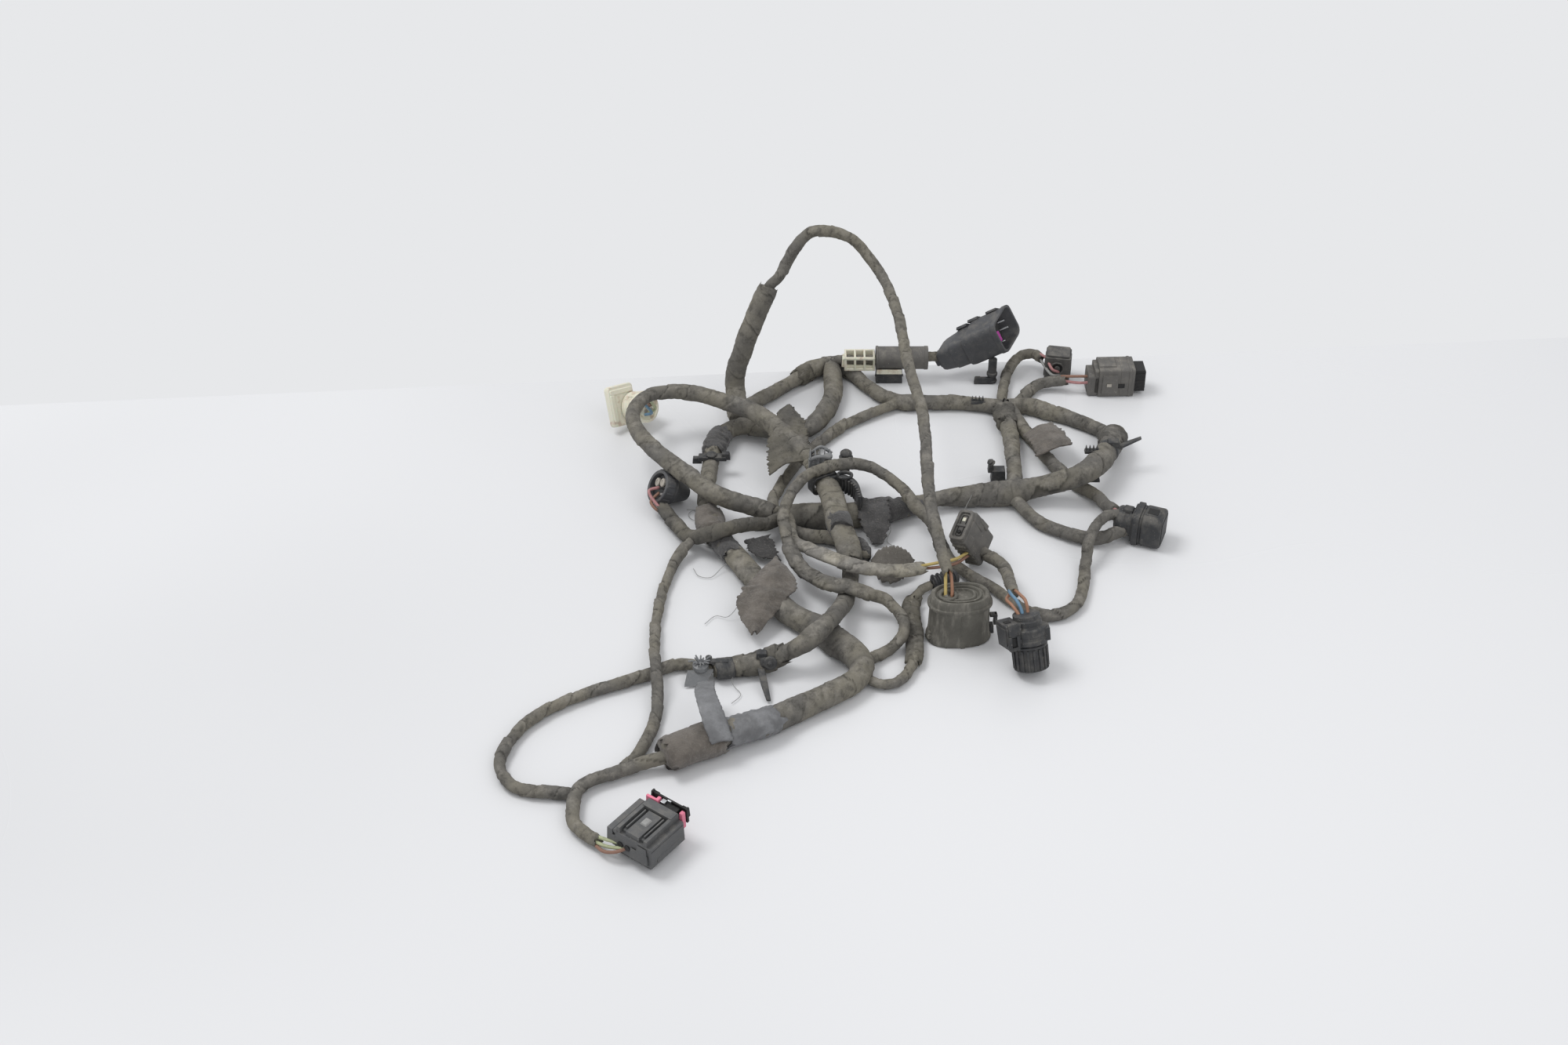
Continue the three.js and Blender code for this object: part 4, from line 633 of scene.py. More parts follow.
def cloth_tape_finish(name, shade=1.0):
    graph = Graph(name, **{"Specular IOR Level": 0.22})
    tones = colours()
    place = graph.place()
    wide = graph.cloud(place, 38, 2)
    patch = graph.cloud(place, 210, 5, 0.68)
    weave = graph.cloud(place, 1500, 2, 0.6)
    fibre = graph.cloud(place, 3600, 1)
    seam, rim, up = graph.kept("seam"), graph.kept("rim"), graph.upward()
    # Painted highlight and painted shade: the tape's lit and shaded tones, laid in patches by noise.
    colour = graph.blend(graph.mask(wide, 0.36, 0.64), tones.tape, tones.tape_highlight)
    colour = graph.blend(graph.mask(patch, 0.46, 0.7) * 0.7, colour, tones.tape_shade)
    dust = graph.mask(graph.cloud(place, 130, 6, 0.75), 0.46, 0.68) * (0.3 + up * 0.7)
    # Dust lies mostly on upper faces; the pale line along each raised tape edge is painted highlight, partly wear, in
    # the dust tone.
    colour = graph.blend(dust * 0.6 + rim * 0.3, colour, tones.dust)
    colour = graph.blend(graph.mask(fibre, 0.6, 0.8) * 0.3, colour, tones.dust)
    colour = graph.blend(graph.mask(weave, 0.58, 0.76) * 0.4, colour, tuple(x * 0.45 for x in tones.tape_shade))
    # Painted shade, partly dirt: a dark line under each tape edge and in the creases.
    colour = graph.blend(seam * 0.75, colour, tuple(x * 0.25 for x in tones.tape_shade))
    colour = colour * shade
    rough = 0.82 + weave * 0.16 - graph.mask(patch, 0.55, 0.8) * 0.14
    height = weave * 0.5 + fibre * 0.28 + patch * 0.6
    return graph.done(Base_Color=colour, Roughness=rough, Normal=graph.bump(height, 0.65, 0.0005))


def felt_finish(name, base, dark=0.55, scale=1.0):
    graph = Graph(name, **{"Specular IOR Level": 0.15, "Sheen Weight": 0.25, "Sheen Roughness": 0.6})
    place = graph.place()
    patch = graph.cloud(place, 120 * scale, 5, 0.7)
    fuzz = graph.cloud(place, 1100 * scale, 4, 0.75)
    hair = graph.cloud(place, 3000 * scale, 2)
    colour = graph.blend(graph.mask(patch, 0.35, 0.7), base, tuple(x * dark for x in base))
    colour = graph.blend(graph.mask(fuzz, 0.52, 0.75) * 0.5, colour, colours().dust)
    colour = graph.blend(graph.mask(hair, 0.6, 0.8) * 0.35, colour, tuple(x * 0.3 for x in base))
    height = fuzz * 0.8 + hair * 0.4 + patch
    return graph.done(Base_Color=colour, Roughness=0.88 + hair * 0.12, Normal=graph.bump(height, 0.8, 0.0007))


def moulded_finish(name, base, dust=0.35, low=0.42, high=0.72, grain=0.35):
    """Moulded plastic: fine grain, dry dust on top, rubbed patches."""
    graph = Graph(name, **{"Specular IOR Level": 0.38})
    place = graph.place()
    wide = graph.cloud(place, 45, 3)
    patch = graph.cloud(place, 190, 5, 0.65)
    speck = graph.cloud(place, 900, 3, 0.7)
    fine = graph.cloud(place, 2600, 2)
    tone = graph.blend(graph.mask(wide, 0.35, 0.7), base, tuple(x * 0.78 for x in base))
    grime = graph.mask(patch, 0.4, 0.68) * (0.35 + graph.upward() * 0.65)
    tone = graph.blend(grime * dust, tone, colours().dust)
    tone = graph.blend(graph.mask(speck, 0.64, 0.74) * dust, tone, tuple(min(1, x * 1.6 + 0.12) for x in colours().dust))
    rough = low + grime * (high - low) + speck * 0.1
    return graph.done(Base_Color=tone, Roughness=rough, Normal=graph.bump(fine * 0.5 + speck, grain, 0.00025))


def rubber_finish(name, base):
    graph = Graph(name, **{"Specular IOR Level": 0.25})
    place = graph.place()
    wide = graph.cloud(place, 60, 4, 0.6)
    streak = graph.cloud(graph.node("ShaderNodeMapping", None, {"Vector": place, "Scale": (1.0, 1.0, 0.25)}), 260, 4, 0.65)
    fine = graph.cloud(place, 1800, 3)
    tone = graph.blend(graph.mask(wide, 0.34, 0.62), base, tuple(x * 0.7 for x in base))
    tone = graph.blend(graph.mask(streak, 0.5, 0.72) * 0.6, tone, colours().dust)
    tone = graph.blend(graph.mask(fine, 0.62, 0.78) * 0.35, tone, tuple(x * 0.35 for x in base))
    return graph.done(Base_Color=tone, Roughness=0.66 + streak * 0.25, Normal=graph.bump(fine + streak * 0.5, 0.5, 0.0004))


def cream_finish(name):
    graph = Graph(name, **{"Specular IOR Level": 0.4, "Subsurface Weight": 0.08, "Subsurface Scale": 0.002})
    place = graph.place()
    tones = colours()
    wide = graph.cloud(place, 130, 4, 0.6)
    speck = graph.cloud(place, 700, 4, 0.7)
    fine = graph.cloud(place, 2400, 2)
    stain = graph.mask(wide, 0.52, 0.66)
    tone = graph.blend(stain * 0.7, tones.cream_plastic, tones.cream_stain)
    tone = graph.blend(graph.mask(speck, 0.62, 0.76) * 0.5, tone, tuple(x * 0.5 for x in tones.cream_stain))
    return graph.done(Base_Color=tone, Roughness=0.42 + wide * 0.2, Normal=graph.bump(fine + speck, 0.25, 0.0002))


def clear_tape_finish(name):
    graph = Graph(name, **{"Specular IOR Level": 0.5, "Subsurface Weight": 0.0})
    place = graph.place()
    fold = graph.cloud(place, 110, 5, 0.65)
    speck = graph.cloud(place, 900, 3)
    base = colours().clear_tape
    tone = graph.blend(graph.mask(fold, 0.35, 0.65), base, tuple(min(1, x * 1.3) for x in base))
    tone = graph.blend(graph.mask(speck, 0.6, 0.75) * 0.4, tone, tuple(x * 0.5 for x in base))
    cover = 0.78 + graph.mask(fold, 0.4, 0.7) * 0.2
    return graph.done(Base_Color=tone, Roughness=0.3 + speck * 0.25, Alpha=cover,
                      Normal=graph.bump(fold + speck * 0.3, 0.6, 0.0006))


def metal_finish(name):
    graph = Graph(name, Metallic=1.0)
    place = graph.place()
    scratch = graph.cloud(graph.node("ShaderNodeMapping", None, {"Vector": place, "Scale": (1.0, 0.2, 1.0)}), 2400, 4)
    tone = graph.blend(graph.mask(scratch, 0.4, 0.7), rgb(205, 207, 210), rgb(150, 150, 148))
    return graph.done(Base_Color=tone, Roughness=0.22 + scratch * 0.2, Normal=graph.bump(scratch, 0.2, 0.0001))


def wire_finish(name, base):
    graph = Graph(name, **{"Specular IOR Level": 0.45})
    place = graph.place()
    dirt = graph.cloud(place, 420, 4, 0.7)
    fine = graph.cloud(place, 2600, 2)
    tone = graph.blend(graph.mask(dirt, 0.48, 0.74) * 0.55, base, tuple(x * 0.45 for x in base))
    tone = graph.blend(graph.mask(fine, 0.6, 0.8) * 0.25, tone, colours().dust)
    return graph.done(Base_Color=tone, Roughness=0.38 + dirt * 0.25, Normal=graph.bump(dirt + fine * 0.4, 0.3, 0.0002))


FINISHES = {
    "cloth_tape": lambda name: cloth_tape_finish(name),
    "clean_tape": lambda name: cloth_tape_finish(name, 0.7),
    "pale_tape": lambda name: cloth_tape_finish(name, 1.6),
    "shiny_plastic": lambda name: moulded_finish(name, rgb(118, 120, 122), 0.25, 0.2, 0.45),
    "felt": lambda name: felt_finish(name, colours().felt),
    "worn_cloth": lambda name: felt_finish(name, rgb(106, 102, 96), 0.7),
    "black_cloth": lambda name: felt_finish(name, rgb(78, 77, 77), 0.6),
    "black_plastic": lambda name: moulded_finish(name, colours().black_plastic),
    "front_plastic": lambda name: moulded_finish(name, rgb(92, 93, 94), 0.3, 0.45, 0.7),
    "plug_plastic": lambda name: moulded_finish(name, rgb(76, 77, 80), 0.3, 0.45, 0.7, 0.2),
    "dark_grey_plastic": lambda name: moulded_finish(name, rgb(80, 79, 78), 0.4, 0.5, 0.8),
    # Near black: real black parts, and painted shade in mouths, holes, slots and the plug's socket.
    "dark_recess": lambda name: moulded_finish(name, rgb(24, 24, 25), 0.08),
    "grey_plastic": lambda name: moulded_finish(name, colours().grey_plastic, 0.5, 0.55, 0.85),
    "boot_rubber": lambda name: rubber_finish(name, colours().boot_rubber),
    "cream_plastic": cream_finish,
    "pink_plastic": lambda name: moulded_finish(name, colours().pink_plastic, 0.12, 0.4, 0.6),
    "magenta_seal": lambda name: moulded_finish(name, colours().magenta_seal, 0.1, 0.5, 0.7),
    "pale_seal": lambda name: moulded_finish(name, rgb(176, 170, 160), 0.3, 0.5, 0.7),
    "clear_tape": clear_tape_finish,
    "metal": metal_finish,
    "yellow_wire": lambda name: wire_finish(name, rgb(186, 166, 104)),
    "orange_wire": lambda name: wire_finish(name, rgb(160, 118, 94)),
    "brown_wire": lambda name: wire_finish(name, rgb(138, 104, 88)),
    "pink_wire": lambda name: wire_finish(name, rgb(174, 126, 126)),
    "blue_wire": lambda name: wire_finish(name, rgb(104, 138, 164)),
    "green_wire": lambda name: wire_finish(name, rgb(172, 178, 142)),
    "grey_wire": lambda name: wire_finish(name, rgb(150, 150, 148)),
}


def finish(name):
    """The material of that name, made the first time it is asked for."""
    found = bpy.data.materials.get("harness_" + name)
    return found or FINISHES[name]("harness_" + name)


ALONG_X = Matrix.Rotation(math.pi / 2, 4, "Y")
ALONG_MINUS_Y = Matrix.Rotation(math.pi / 2, 4, "X")


def move(x, y, z):
    return Matrix.Translation((x, y, z))


def spin(degrees, axis="Z"):
    return Matrix.Rotation(math.radians(degrees), 4, axis)


def seat(position, heading):
    return move(*position) @ spin(heading)


def facing(position, normal, up):
    """Local +Z along the normal, local +Y as near to the up direction as that allows."""
    z = Vector(normal).normalized()
    x = Vector(up).cross(z).normalized()
    y = z.cross(x)
    turn = Matrix((x, y, z)).transposed().to_4x4()
    return move(*position) @ turn


class Moulding:
    """Closed forms in millimetres, gathered into one bevelled piece."""

    def __init__(self, local):
        self.local = local
        self.points, self.faces = [], []

    def turned_by(self, matrix):
        """The same piece, written from another local place."""
        other = Moulding(self.local @ matrix)
        other.points, other.faces = self.points, self.faces
        return other

    def _add(self, points, faces):
        start = len(self.points)
        self.points.extend(placed(self.local @ Vector(point)) for point in points)
        self.faces.extend(tuple(start + i for i in face) for face in faces)

    def block(self, x, y, z, taper=0.0):
        """A box between the two values on each axis. Its top is smaller by taper on each side."""
        (x0, x1), (y0, y1), (z0, z1) = x, y, z
        low = [(x0, y0, z0), (x1, y0, z0), (x1, y1, z0), (x0, y1, z0)]
        high = [(x0 + taper, y0 + taper, z1), (x1 - taper, y0 + taper, z1),
                (x1 - taper, y1 - taper, z1), (x0 + taper, y1 - taper, z1)]
        self.loft([low, high])

    def loft(self, outlines):
        """A closed form through outlines with equally many points."""
        sides = len(outlines[0])
        points = [point for outline in outlines for point in outline]
        self._add(points, tube_faces(len(outlines), sides))

    def prism(self, outline, low, high):
        self.loft([[(x, y, z) for x, y in outline] for z in (low, high)])

    def turned(self, profile, sides=36, squash=1.0, fullness=0.0):
        """A turned form. Fullness takes an oval towards a long one with straight sides."""
        rows = []
        for r, z in profile:
            angles = [k / sides * math.tau for k in range(sides)]
            out = [1 + fullness * math.sin(2 * angle) ** 2 for angle in angles]
            rows.append([(r * o * math.cos(a), r * o * squash * math.sin(a), z) for a, o in zip(angles, out)])
        self.loft(rows)

    def ring(self, outer, inner, low, high):
        """A wall between two outlines with equally many points."""
        count = len(outer)
        rows = [[(x, y, z) for x, y in outline] for outline, z in
                ((outer, low), (outer, high), (inner, high), (inner, low))]
        faces = []
        for row in range(4):
            for i in range(count):
                a, b = row * count + i, row * count + (i + 1) % count
                step = count if row < 3 else -3 * count
                faces.append((a, b, b + step, a + step))
        self._add([point for row in rows for point in row], faces)

    def rod(self, points, radius, sides=10):
        line = smooth_line(points, 0.8)
        _, across, upright = ring_frames(line, False)
        rows = [[centre + (across[i] * math.cos(k / sides * math.tau) + upright[i] * math.sin(k / sides * math.tau)) * radius
                 for k in range(sides)] for i, centre in enumerate(line)]
        self.loft(rows)

    def piece(self, name, material, nodes, bevel=0.35):
        thing = show(name, self.points, self.faces, material, nodes, smooth=False)
        thing.data.shade_smooth()
        thing.data.set_sharp_from_angle(angle=math.radians(32))
        if bevel:
            edge = thing.modifiers.new("Rounded edges", "BEVEL")
            edge.width = bevel * MM
            edge.segments = 2
            edge.limit_method = "ANGLE"
            edge.angle_limit = math.radians(32)
            edge.use_clamp_overlap = True
        return thing


def box_outline(width, height, corner=0.0, shift=(0.0, 0.0), steps=4):
    """A rectangle about its middle with rounded corners."""
    points = []
    for quarter, (sx, sy) in enumerate(((1, 1), (-1, 1), (-1, -1), (1, -1))):
        for step in range(steps + 1):
            angle = (quarter + step / steps) * math.pi / 2
            points.append((sx * (width / 2 - corner) + corner * math.cos(angle) + shift[0],
                           sy * (height / 2 - corner) + corner * math.sin(angle) + shift[1]))
    return points


def oval_outline(width, height, count=40):
    return [(width / 2 * math.cos(k / count * math.tau), height / 2 * math.sin(k / count * math.tau))
            for k in range(count)]


def cord_pieces():
    """Cloth-taped cords as tubes, each along its route."""
    tubes = {}
    size = sizes()
    for seed, (name, cord) in enumerate(CORDS.items(), 1):
        width = cord["width"]
        thickness = cord.get("thickness", width)
        line = smooth_line(cord["points"], size.ring_step / MM)
        pitch = size.tape_pitch / MM * (0.8 + 0.035 * width)
        winding = Winding(seed, pitch, size.tape_edge / MM, swells=cord.get("swells", ()), hand=1 if seed % 3 else -1)
        sides = 26 if width > 8 else 20
        tubes[name] = taped_tube("cord_" + name, line, width, thickness, winding, cord.get("finish", "cloth_tape"),
                                 [cord.get("node", name)], sides, seed=seed)
    return tubes


def declare_cords():
    """Works out each cord's line again at a 2 mm step, and does nothing more with it."""
    for name, cord in CORDS.items():
        line = smooth_line(cord["points"], 2.0)


def wire_pieces():
    """Bare insulated wires between a cord's end and its connector."""
    carried = {}
    for name, (cord, material, points) in WIRES.items():
        node = CORDS[cord].get("node", cord)
        wire = thin_tube(name, points, sizes().wire_width / MM, material, [node])
        carried.setdefault(cord, []).append(wire)
    for name, (cord, points) in THREADS.items():
        thread = thin_tube(name, points, sizes().hair_width / MM, "grey_wire", None, 6, 0.6)
        carried.setdefault(cord, []).append(thread)
    return carried


def front_connector():
    local = seat((-57.4, -231.3, 0), 53)
    body = Moulding(local)
    body.block((-8.4, 11), (-8.0, 9.2), (0, 4.6), 0.8)
    body.block((-11, 11), (-11, 9.2), (4.2, 14.6), 0.3)
    body.block((-12.0, -10.6), (-9.4, 0.6), (5.4, 10.6), 0.5)
    body.block((-11.6, -10.6), (-8.6, -3.0), (10.2, 13.8), 0.4)
    body.block((5.6, 11), (-8.2, 8), (12, 18), 0.4)
    for side in (-1, 1):
        body.block((-10.6, 11), (side * 7.3 - 1, side * 7.3 + 1), (12, 17.6), 0.2)
        body.block((-8, 5), (side * 4.9 - 0.5, side * 4.9 + 0.5), (12, 17.3), 0.15)
    body.block((-10, 5.6), (-3.7, 3.7), (13, 17.1), 0.2)
    body.block((-9, -5.5), (-6.2, 6.2), (12, 15.9), 0.2)
    body.block((-11, 11), (10.2, 13.6), (6.5, 14.6), 0.3)
    body.block((-11, 11), (8.8, 10.6), (6.2, 11.8), 0.2)
    body.rod([(-10.8, 8.9, 14.6), (0, 8.9, 14.6), (10.8, 8.9, 14.6)], 1.2)
    body.block((-11, 10.4), (-11.2, -9.2), (5.0, 13.2), 0.2)
    body.block((-7.6, 9.6), (-11.6, -10.6), (6.0, 7.6), 0.4)
    body.piece("front_housing_body", "front_plastic", ["front_housing"], 0.4)
    tongue = Moulding(local)
    tongue.block((-3.2, 1.6), (-1.9, 1.9), (16.8, 17.9), 0.7)
    tongue.piece("front_tongue_catch", "grey_wire", ["front_housing"], 0.3)
    seals = Moulding(local @ move(-11.2, 0, 0) @ ALONG_X)
    for across in (2.2, 6):
        seals.turned_by(move(-8.6, across, 0)).turned([(1.5, -0.2), (1.5, 0.9), (1.1, 1.1)], 16)
    seals.piece("front_wire_seals", "dark_recess", ["front_housing"], 0.15)
    bar = Moulding(local @ move(11.3, 0, 0))
    bar.block((3.0, 4.4), (-9.9, 9.9), (10.5, 18.0), 0.2)
    bar.block((-0.2, 3.4), (-6.4, 2.6), (10.5, 16.8), 0.3)
    for side in (-1, 1):
        bar.block((2.6, 5), (side * 9.3 - 0.8, side * 9.3 + 0.8), (13.5, 18.4), 0.3)
        bar.block((4.0, 5), (side * 7.9 - 1.8, side * 7.9 + 1.8), (15.5, 17.8), 0.2)
    bar.piece("front_latch_bar_body", "dark_recess", ["front_latch_bar"], 0.25)
    shine = Moulding(local @ move(11.3, 0, 0))
    shine.block((0.2, 2.9), (0.4, 3.0), (15.4, 18.0), 0.2)
    shine.block((2.2, 3.4), (-1.6, 0.8), (16.4, 18.4), 0.2)
    shine.piece("front_latch_contacts", "metal", ["front_latch_bar"], 0.15)
    lock = Moulding(local @ move(11.3, 0, 0))
    lock.block((0, 2.4), (-8.4, 9.4), (3.7, 9.7), 0.2)
    lock.block((-0.1, 1.6), (3.6, 10.6), (9.0, 17.6), 0.2)
    lock.block((-0.1, 3.2), (3.6, 5.8), (13.2, 17.8), 0.3)
    lock.block((-0.1, 2.4), (-9.8, -7.6), (9.0, 17.6), 0.2)
    lock.piece("front_lock_body", "pink_plastic", ["front_lock"], 0.3)


def cream_connector():
    local = facing((-74, 84.4, 14.4), (0.67, -0.59, 0.44), (0, 0.6, 0.8))
    flange = Moulding(local @ move(-7, 1.2, 0) @ spin(14))
    flange.prism(box_outline(17, 22, 2.0), -15, -11.2)
    flange.prism(box_outline(15.4, 3.0, 0.8, (0, 7.6)), -15, -10.6)
    flange.prism(box_outline(3.0, 15, 0.8, (-6.4, -1)), -15, -10.5)
    flange.piece("cream_flange_plate", "cream_plastic", ["cream_flange"], 0.5)
    cap = Moulding(local)
    cap.turned([(8.7, -10.7), (8.7, -8.2), (8.1, -7.8), (8.1, -3.2), (8.7, -2.8), (8.7, -0.2), (8.3, 0.0),
                (7.5, 0.0), (7.2, -1.5), (0.4, -1.5)], 48)
    for step in range(6):
        angle = step / 6 * math.tau + 0.3
        cap.turned_by(spin(math.degrees(angle))).block((7.6, 8.6), (-0.7, 0.7), (-7.8, -3.2))
    cap.turned([(5.6, -1.6), (5.6, -0.8), (5.0, -0.6), (0.3, -0.6)], 32)
    cap.piece("cream_cap_body", "cream_plastic", ["cream_cap"], 0.25)
    holes = Moulding(local)
    for x, y in ((-2.2, 2.2), (2.4, 2.0), (0.2, -2.6), (-3.6, -1.6), (3.6, -1.4)):
        holes.turned_by(move(x, y, 0)).turned([(1.35, -0.7), (1.35, -0.35), (0.9, -0.3), (0.85, -0.5), (0.1, -0.5)], 16)
    holes.piece("cream_cap_seals", "pale_seal", ["cream_cap"], 0.1)


def oval_connector():
    local = facing((-65, 15, 12), (-0.85, -0.25, 0.46), (0, 0.6, 0.8))
    body = Moulding(local)

    def outline(share, z, count=44):
        return [(x * share, y * share, z) for x, y in oval_outline(23, 17.5, count)]

    body.loft([outline(0.4, -17), outline(0.52, -15), outline(0.72, -11), outline(0.88, -7.6), outline(0.93, -7.2),
               outline(0.93, -5.2)])
    body.ring([(x, y) for x, y, _ in outline(1, 0)], [(x, y) for x, y, _ in outline(0.8, 0)], -5.3, 0)
    for step in range(14):
        angle = step / 14 * math.tau
        body.turned_by(move(11.3 * math.cos(angle), 8.6 * math.sin(angle), 0)).block((-0.5, 0.5), (-0.5, 0.5), (-5, -1.2))
    body.block((-4, 4), (7.6, 9.8), (-9, -1.4), 0.4)
    body.piece("oval_housing_body", "plug_plastic", ["oval_housing"], 0.3)
    insert = Moulding(local)
    insert.loft([outline(0.78, -4.7), outline(0.78, -2.4), outline(0.74, -2.1)])
    insert.block((-8.4, 8.4), (-1.1, 0.1), (-2.4, -1.5), 0.2)
    insert.piece("oval_insert", "dark_recess", ["oval_seal_insert"], 0.25)
    seals = Moulding(local)
    for x, y in ((-3.4, 2.6), (2.6, 2.2)):
        seals.turned_by(move(x, y, 0)).turned(
            [(2.3, -2.2), (2.3, -1.2), (1.9, -0.9), (1.3, -0.9), (1.0, -1.4), (0.1, -1.4)], 22)
    seals.piece("oval_seals", "pale_seal", ["oval_seal_insert"], 0.12)
    slot = Moulding(local)
    slot.block((-1.2, 4.6), (-4.6, -3.1), (-2.2, -1.3), 0.2)
    slot.piece("oval_slot", "grey_wire", ["oval_seal_insert"], 0.15)


def boot_connector():
    local = seat((83, -89.5, 0), 5)
    ratio = 19.5 / 31
    shell = Moulding(local)
    shell.turned([(0.3, 20.6), (12.0, 20.6), (12.3, 0.4), (15.1, 0.0), (15.6, 0.7), (15.5, 2.6), (15.0, 3.4), (14.6, 7),
                  (14.5, 12), (14.3, 17), (14.2, 19.8), (15.2, 20.0), (15.5, 20.5), (15.4, 21.6), (14.4, 22.0),
                  (14.3, 23.4), (13.9, 25.2), (13.2, 25.9), (12.2, 26.0), (11.7, 25.5), (11.5, 24.6), (10.9, 24.5),
                  (10.4, 24.8), (10.1, 25.6), (9.2, 25.7), (8.8, 25.1), (8.6, 24.4), (8.0, 24.3), (7.6, 24.9),
                  (7.2, 25.4), (6.2, 25.4), (5.9, 24.8), (5.6, 24.3), (0.3, 24.4)], 64, ratio, 0.06)
    for step in range(11):
        angle = step / 11 * math.tau + 0.2
        x, y = 15.2 * math.cos(angle), 15.2 * ratio * math.sin(angle)
        shell.turned_by(move(x, y, 0) @ spin(math.degrees(math.atan2(y, x * ratio)))).block(
            (-1.2, 0.5), (-1.1, 1.1), (0, 2.2), 0.3)
    for step in range(7):
        angle = math.radians(200 + step * 23)
        x, y = 14.5 * math.cos(angle), 14.4 * ratio * math.sin(angle)
        shell.turned_by(move(x, y, 0)).turned([(0.3, 3.2), (0.35, 10), (0.2, 18.6)], 8)
    shell.piece("boot_shell_body", "boot_rubber", ["boot_shell"], 0.25)
    collar = Moulding(local @ move(-6, -0.5, 0))
    collar.ring(oval_outline(9.4, 8.2, 24), oval_outline(6.2, 5.4, 24), 22.4, 26.0)
    collar.piece("boot_wire_collar", "boot_rubber", ["boot_shell"], 0.5)
    insert = Moulding(local)
    insert.turned([(11.6, 0.2), (11.8, 1.2), (11.8, 18.5), (11.2, 19), (0.3, 19)], 48, ratio)
    for row in range(3):
        for column in range(5):
            insert.turned_by(move(-7 + column * 3.5, -3 + row * 3, 0)).turned([(0.8, -0.1), (1.1, 0.1), (1.1, 1.4)], 12)
    insert.piece("boot_insert_body", "dark_recess", ["boot_insert"], 0.2)
    hook = Moulding(local)
    hook.block((14.6, 18.4), (-1.6, 1.4), (11.2, 12.6), 0.2)
    hook.block((16.6, 18.4), (-1.6, 1.4), (6.4, 12.6), 0.2)
    hook.block((14.4, 16.9), (-2.2, 1.8), (1.8, 6.4), 0.3)
    hook.piece("boot_hook", "black_plastic", ["boot_shell"], 0.3)
    lug = Moulding(local)
    lug.block((-15.3, -12.9), (-4.6, -2.0), (2.0, 6.4), 0.4)
    lug.turned_by(move(-14.4, -4.7, 4.2) @ ALONG_MINUS_Y).turned([(1.3, -0.4), (1.3, 0.4), (0.6, 0.5), (0.5, 0.1), (0.1, 0.1)], 16)
    lug.piece("boot_lug", "boot_rubber", ["boot_shell"], 0.3)


def round_connector():
    local = facing((112, -107.2, 28.3), (0.13, -0.36, -0.92), (0, 0, 1))
    body = Moulding(local)
    body.turned([(5.2, 0), (6.4, 0.3), (6.4, 2.6), (6.9, 2.9), (6.9, 5.6), (8.4, 6.0), (9.0, 6.6), (9.0, 9.8),
                 (8.6, 10.1), (8.6, 11.6), (9.0, 11.9), (9.0, 13.8), (8.6, 14), (0.3, 14)], 44)
    body.turned_by(spin(18)).block((5.0, 10.0), (-4.4, 4.4), (7.0, 13.2), 0.2)
    body.block((-13.0, -5.6), (-6.6, 6.4), (2.4, 14.2), 0.4)
    body.block((-13.5, -12.2), (-5.0, 5.2), (4.0, 12.4), 0.3)
    body.block((-12.4, -7.6), (5.6, 7.2), (1.6, 8.2), 0.3)
    body.block((-12.6, -11.2), (5.2, 7.6), (7.6, 14.6), 0.15)
    body.block((-8.8, -7.4), (5.2, 7.6), (7.6, 14.6), 0.15)
    body.block((-12.6, -7.4), (5.2, 7.4), (12.8, 14.6), 0.15)
    body.piece("round_housing_body", "black_plastic", ["round_housing"], 0.4)
    # Painted shade: dark blocks in the latch slot and a groove.
    slot = Moulding(local)
    slot.block((-11.2, -8.8), (5.4, 6.6), (8.4, 12.6))
    slot.block((-11.4, -8.4), (-1.6, 1.6), (2.1, 2.7))
    slot.piece("round_latch_slot", "dark_recess", ["round_housing"], 0.1)
    ring = Moulding(local)
    ring.ring(oval_outline(15.8, 15.8, 48), oval_outline(13.4, 13.4, 48), 17.8, 26.8)
    ring.turned([(7.7, 14.3), (7.9, 14.5), (7.9, 17.9), (0.3, 17.9)], 48)
    for step in range(18):
        ring.turned_by(spin(step * 20)).block((7.4, 8.6), (-0.62, 0.62), (16.2, 26.2), 0.15)
    ring.turned([(8.0, 14.4), (8.5, 14.8), (8.5, 15.6), (8.0, 16.0)], 48)
    ring.turned([(6.7, 26.0), (8.2, 26.1), (8.2, 26.7), (6.7, 26.8)], 48)
    ring.piece("round_ribbed_ring_body", "black_plastic", ["round_ribbed_ring"], 0.25)
    pins = Moulding(local)
    for step in range(4):
        pins.turned_by(spin(step * 90 + 45) @ move(3.0, 0, 0)).turned([(0.7, 17.7), (0.7, 23.5), (0.25, 24.2)], 12)
    pins.piece("round_pins", "metal", ["round_ribbed_ring"], 0.0)


